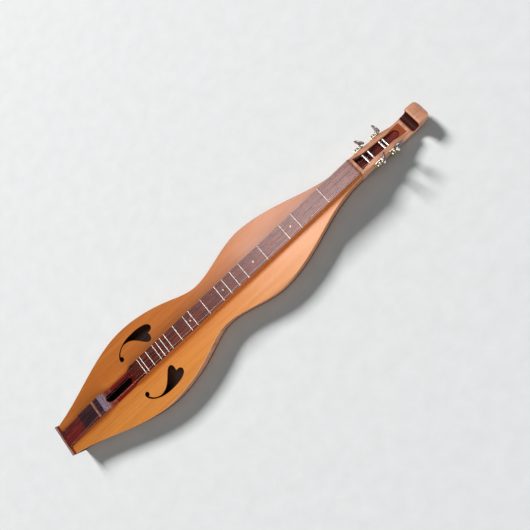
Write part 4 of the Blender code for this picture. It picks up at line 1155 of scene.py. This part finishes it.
def make_peghead():
    stations = spread(HEAD_START, HEAD_ROUND_START, 130)
    reach = HEAD_END - HEAD_ROUND_START
    stations += [HEAD_ROUND_START + reach * sin(radians(5 * i)) for i in range(1, 19)]
    head = cut(loft_mesh("scroll_head", [head_section(x) for x in stations]), head_tools())
    obj = new_object("head_scratch", head)
    remesh = obj.modifiers.new("remesh", "REMESH")
    remesh.mode = "VOXEL"
    remesh.voxel_size = HEAD_VOXEL
    smooth = obj.modifiers.new("sanding", "SMOOTH")
    smooth.factor = 0.5
    smooth.iterations = 5
    mesh = evaluated_mesh(obj, "scroll_head")
    # Painted shade in the peghead's hollows.
    shade_hollows(mesh)
    place("scroll_head", mesh, "head_wood", ["peghead"], angle=75)
    inset = OVERHANG + SIDE_THICKNESS + GAP
    outline = body_outline(inset, NECK_JOINT - HEEL_LENGTH, HEAD_START, 12)
    heel = plate_mesh("heel_block", [outline], SIDE_BOTTOM, SIDE_TOP, 0.0)
    place("heel_block", heel, "head_wood")


def head_half(x, z):
    """Half width of the peghead at a station and height."""
    top = hermite(HEAD_TOP_CURVE, x)
    height = top - hermite(HEAD_BOTTOM_CURVE, x)
    shoulder = top - min(hermite(HEAD_FLANK_CURVE, x), 0.6 * height) - HEAD_EDGE
    t = clamp((z - shoulder) / (top - HEAD_EDGE - shoulder))
    wide = hermite(HEAD_WIDTH_CURVE, x)
    return wide + (hermite(HEAD_TOP_WIDTH_CURVE, x) - wide) * ease(t)


def pocket_shade(x, y, z):
    """Painted shade: about 0.5 in the recess, 0.8 on the pocket's floor and a little more on its
    walls.
    """
    depth = hermite(HEAD_TOP_CURVE, x) - z
    end, end_half = POCKET_CURVE[-1][:2]
    value = 0.0
    if RECESS[0][0] < x < RECESS[-1][0] + 0.0006 and abs(y) < RECESS[-1][2] + 0.0004:
        value = 0.5 * clamp(depth / 0.0015)
    inside = abs(y) < hermite(POCKET_CURVE, x) + 0.0007
    if inside and POCKET_CURVE[0][0] - 0.0005 < x < end + end_half + 0.0005:
        value = max(value, 0.8 * clamp((depth - 0.0030) / 0.004))
        if value > 0.79:
            value += 0.16 * clamp((z - POCKET_FLOOR) / 0.003)
    return value


def gouge_shade(x, z):
    """Painted shade: up to 1 on the gouge's round floor and its leaning far wall."""
    station, height, radius = GOUGE
    value = 0.0
    if abs(hypot(x - station, z - height) - radius) < 0.0012 and z < height + 0.001:
        turn = degrees(atan2(height - z, station - x))
        value = clamp((turn - 42) / 22)
    lean = station + radius - (z - height) * GOUGE_LEAN / (GOUGE_TOP - height)
    if height - 0.001 < z < GOUGE_RIM and abs(x - lean) < 0.0012:
        value = max(value, clamp((GOUGE_RIM - z) / 0.0012))
    return value


def shade_hollows(mesh):
    """Point attribute of painted shade that darkens the peghead's hollows and fades out before its
    flanks.
    """
    values = []
    for vert in mesh.vertices:
        x, y, z = vert.co
        value = max(pocket_shade(x, y, z), gouge_shade(x, z))
        if x > RECESS[-1][0] + 0.001:
            value *= clamp((head_half(x, z) - abs(y) - 0.0003) / 0.0009)
        values.append(value)
    hollow_shade = mesh.attributes.new("hollow_shade", "FLOAT", "POINT")
    hollow_shade.data.foreach_set("value", values)


# ---- tuners ----
def screw_mesh(name, radius, height):
    """Domed screw head with a slot, standing along Z."""
    profile = [(radius, 0.0), (radius, height * 0.35), (radius * 0.92, height * 0.70),
               (radius * 0.62, height * 0.95), (radius * 0.2, height)]
    shape = rectangle(radius * 1.2, radius * 0.16)
    slot = plate_mesh("screw_slot", [shape], height * 0.45, height * 1.5, 0.0)
    return cut(lathe_mesh(name, profile, 32), [slot])


def plate_outline():
    """Tuner plate in (x, z) with round corners."""
    points = []
    corners = ((PLATE_FRONT, -1, -90), (PLATE_FRONT, 1, 0), (-PLATE_BACK, 1, 90),
               (-PLATE_BACK, -1, 180))
    for x, level, first in corners:
        inward = PLATE_CORNER if x > 0 else -PLATE_CORNER
        centre = (x - inward, level * (PLATE_HALF_HEIGHT - PLATE_CORNER))
        points += arc(centre, PLATE_CORNER, first, first + 90, 8)
    return points


def make_plate(prefix, side, centre):
    outer = side * (PLATE_INNER + PLATE_THICKNESS)
    # STAND puts an outline's depth along -Y, so the levels change sign here.
    levels = sorted((-side * PLATE_INNER, -outer))
    shapes = [plate_outline(), arc((0, 0), POST_RADIUS + GAP, 0, 350, 36)]
    plate = plate_mesh(prefix + "_bracket", shapes, *levels, 0.00025, STAND)
    lugs = []
    near, far = WORM_OFFSET - LUG_RADIUS, WORM_OFFSET + LUG_RADIUS
    tip = side * GEAR_PLANE
    root = side * (PLATE_INNER + PLATE_THICKNESS * 0.6)
    for level in (1, -1):
        outline = [(near, root), (near, tip)]
        outline += arc((WORM_OFFSET, tip), LUG_RADIUS, 180, 180 - 180 * side, 20)[1:-1]
        outline += [(far, tip), (far, root)]
        bore = arc((WORM_OFFSET, tip), WORM_SHAFT_RADIUS + 0.0001, 0, 345, 24)
        levels = sorted((level * LUG_INNER, level * (LUG_INNER + LUG_THICKNESS)))
        lugs.append(plate_mesh("lug", [outline, bore], *levels, 0.0002))
    bracket = cut(plate, lugs, "UNION")
    place(prefix + "_bracket", bracket, "nickel", [prefix + "_plate"], location=centre)
    for number, (x, z) in enumerate(PLATE_SCREWS, 1):
        name = "%s_screw_%d" % (prefix, number)
        screw = screw_mesh(name, SCREW_RADIUS, SCREW_HEIGHT)
        turn = Matrix.Rotation(radians(-90 * side), 4, "X")
        spin = Matrix.Rotation(radians(37 * number + 20 * side), 4, "Z")
        screw.transform(turn @ spin)
        place(name, screw, "nickel", location=centre + Vector((x, outer, z)))


def make_post(prefix, side, centre, body, eye_y):
    radius, far = POST_RADIUS, -POST_FAR_END
    start = PLATE_INNER + PLATE_THICKNESS + GAP
    end = GEAR_PLANE - GEAR_HALF_THICKNESS - GAP
    profile = [(radius - 0.0005, far), (radius - 0.0001, far + 0.0002), (radius, far + 0.0006),
               (radius, start), (radius + 0.0008, start), (radius + 0.001, start + 0.0002),
               (radius + 0.001, end - 0.0002), (radius + 0.0008, end), (STUB_RADIUS, end),
               (STUB_RADIUS, STUB_END - 0.0002), (STUB_RADIUS - 0.0002, STUB_END)]
    post = lathe_mesh(prefix + "_shaft", [(r, side * y) for r, y in profile], 56, "Y")
    eye = lathe_mesh("eye", [(POST_EYE, -0.005), (POST_EYE, 0.005)], 20)
    eye.transform(Matrix.Translation((0, eye_y, 0)) @ Matrix.Rotation(0.6, 4, "Y"))
    levels = sorted((-side * (STUB_END - 0.0006), -side * (STUB_END + 0.001)))
    slot = plate_mesh("slot", [rectangle(0.004, 0.00028)], *levels, 0.0, STAND)
    slot.transform(Matrix.Rotation(0.5 + side, 4, "Y"))
    place(prefix + "_shaft", cut(post, [eye, slot]), "steel", [prefix + "_post"], body, centre)


def make_gear(prefix, side, centre, body):
    """Worm wheel with a tooth gap facing the worm and round tooth tips."""
    outline = []
    steps = ((-0.00078, GEAR_ROOT_RADIUS), (-0.00066, GEAR_ROOT_RADIUS + 0.00015),
             (-0.00044, GEAR_PITCH_RADIUS), (-0.00026, GEAR_TIP_RADIUS - 0.0001),
             (-0.00014, GEAR_TIP_RADIUS))
    steps += tuple((-along, radius) for along, radius in reversed(steps))
    for tooth in range(GEAR_TEETH):
        for along, radius in steps:
            angle = (tooth + 0.5) * 2 * pi / GEAR_TEETH + along / radius
            outline.append(polar(radius, angle))
    levels = sorted((-side * (GEAR_PLANE - GEAR_HALF_THICKNESS),
                     -side * (GEAR_PLANE + GEAR_HALF_THICKNESS)))
    bore = arc((0, 0), STUB_RADIUS + 0.0001, 0, 350, 36)
    gear = plate_mesh(prefix + "_wheel", [outline, bore], *levels, 0.0001, STAND)
    place(prefix + "_wheel", gear, "brass", [prefix + "_gear"], body, centre, 25)


def thread_line(angle):
    """Profile of the worm at one angle: the thread's steps for each turn, shallow at both ends."""
    steps = ((-0.00052, WORM_ROOT_RADIUS), (-0.00026, WORM_CREST_RADIUS - 0.0002),
             (-0.00012, WORM_CREST_RADIUS), (0.00012, WORM_CREST_RADIUS),
             (0.00026, WORM_CREST_RADIUS - 0.0002), (0.00052, WORM_ROOT_RADIUS))
    rise = WORM_LEAD * (angle - pi) / (2 * pi)
    line = []
    for turn in range(-4, 5):
        for offset, radius in steps:
            z = turn * WORM_LEAD + rise + offset
            reach = clamp((WORM_HALF_LENGTH - abs(z)) / (WORM_LEAD / 3))
            size = WORM_ROOT_RADIUS + (radius - WORM_ROOT_RADIUS) * reach
            z = max(-WORM_HALF_LENGTH, min(WORM_HALF_LENGTH, z))
            line.append((*polar(size, angle), z))
    return line


def make_worm(prefix, centre, body):
    """Right-handed worm on its shaft."""
    bm = bmesh.new()
    grid = [[bm.verts.new(point) for point in thread_line(angle)]
            for angle in spread(0, 2 * pi, 49)]
    for line, following in zip(grid, grid[1:]):
        for i in range(len(line) - 1):
            bm.faces.new((line[i], following[i], following[i + 1], line[i + 1]))
    bmesh.ops.remove_doubles(bm, verts=bm.verts, dist=1e-6)
    bmesh.ops.dissolve_degenerate(bm, dist=1e-6, edges=bm.edges)
    rims = [edge for edge in bm.edges if edge.is_boundary]
    bmesh.ops.holes_fill(bm, edges=rims, sides=0)
    name = prefix + "_worm_thread"
    place(name, finished_mesh(bm, name), "steel", [prefix + "_worm"], body, centre)
    radius = WORM_SHAFT_RADIUS
    profile = [(radius - 0.0002, -SHAFT_BELOW), (radius, -SHAFT_BELOW + 0.0002),
               (radius, BUTTON_BASE + 0.002)]
    name = prefix + "_spindle"
    place(name, lathe_mesh(name, profile, 40), "steel", (), body, centre)


def make_button(prefix, turn, centre, body):
    """Flattened oval button with a round neck."""
    swing = Matrix.Rotation(radians(turn), 3, "Z")
    sections = []
    for height, length, thickness in BUTTON_SECTIONS:
        ring = []
        for angle in circle(32):
            c, s = cos(angle), sin(angle)
            along = length * copysign(abs(c) ** BUTTON_FULLNESS, c)
            across = thickness * copysign(abs(s) ** BUTTON_FULLNESS, s)
            ring.append(swing @ Vector((along, across, BUTTON_BASE + height)))
        sections.append(ring)
    name = prefix + "_key"
    obj = new_object(name + "_rough", loft_mesh(name, sections))
    rounding = obj.modifiers.new("round", "SUBSURF")
    rounding.levels = 2
    rounding.render_levels = 2
    mesh = evaluated_mesh(obj, name)
    place(name, mesh, "key_nickel", [prefix + "_button"], body, centre, 60)


def make_tuners():
    for index, (string, (x, z, side, turn)) in enumerate(zip(STRINGS, TUNERS), 1):
        prefix = "tuner_%d" % index
        winder = "winder_%d" % index
        knob = "knob_%d" % index
        centre = Vector((HOME + x, 0, z))
        worm = Vector((HOME + x + WORM_OFFSET, side * GEAR_PLANE, z))
        eye_y = string[4] + coil_way(string) * COIL_PITCH * string[0] * COIL_TURNS
        make_plate(prefix, side, centre)
        make_post(prefix, side, centre, winder, eye_y)
        make_gear(prefix, side, centre, winder)
        make_worm(prefix, worm, knob)
        make_button(prefix, turn, worm, knob)


make_camera()
make_lights(make_floor())
MATERIALS = make_materials()
for part in frame["record"]["subparts"]:
    node = frame["nodes"][part["node"]]
    node.data.materials.clear()
    node.data.materials.append(MATERIALS[part["material_slot"]])
make_body()
make_fretboard()
make_frets()
make_dots()
make_nut_and_bridge()
make_strings()
make_peghead()
make_tuners()
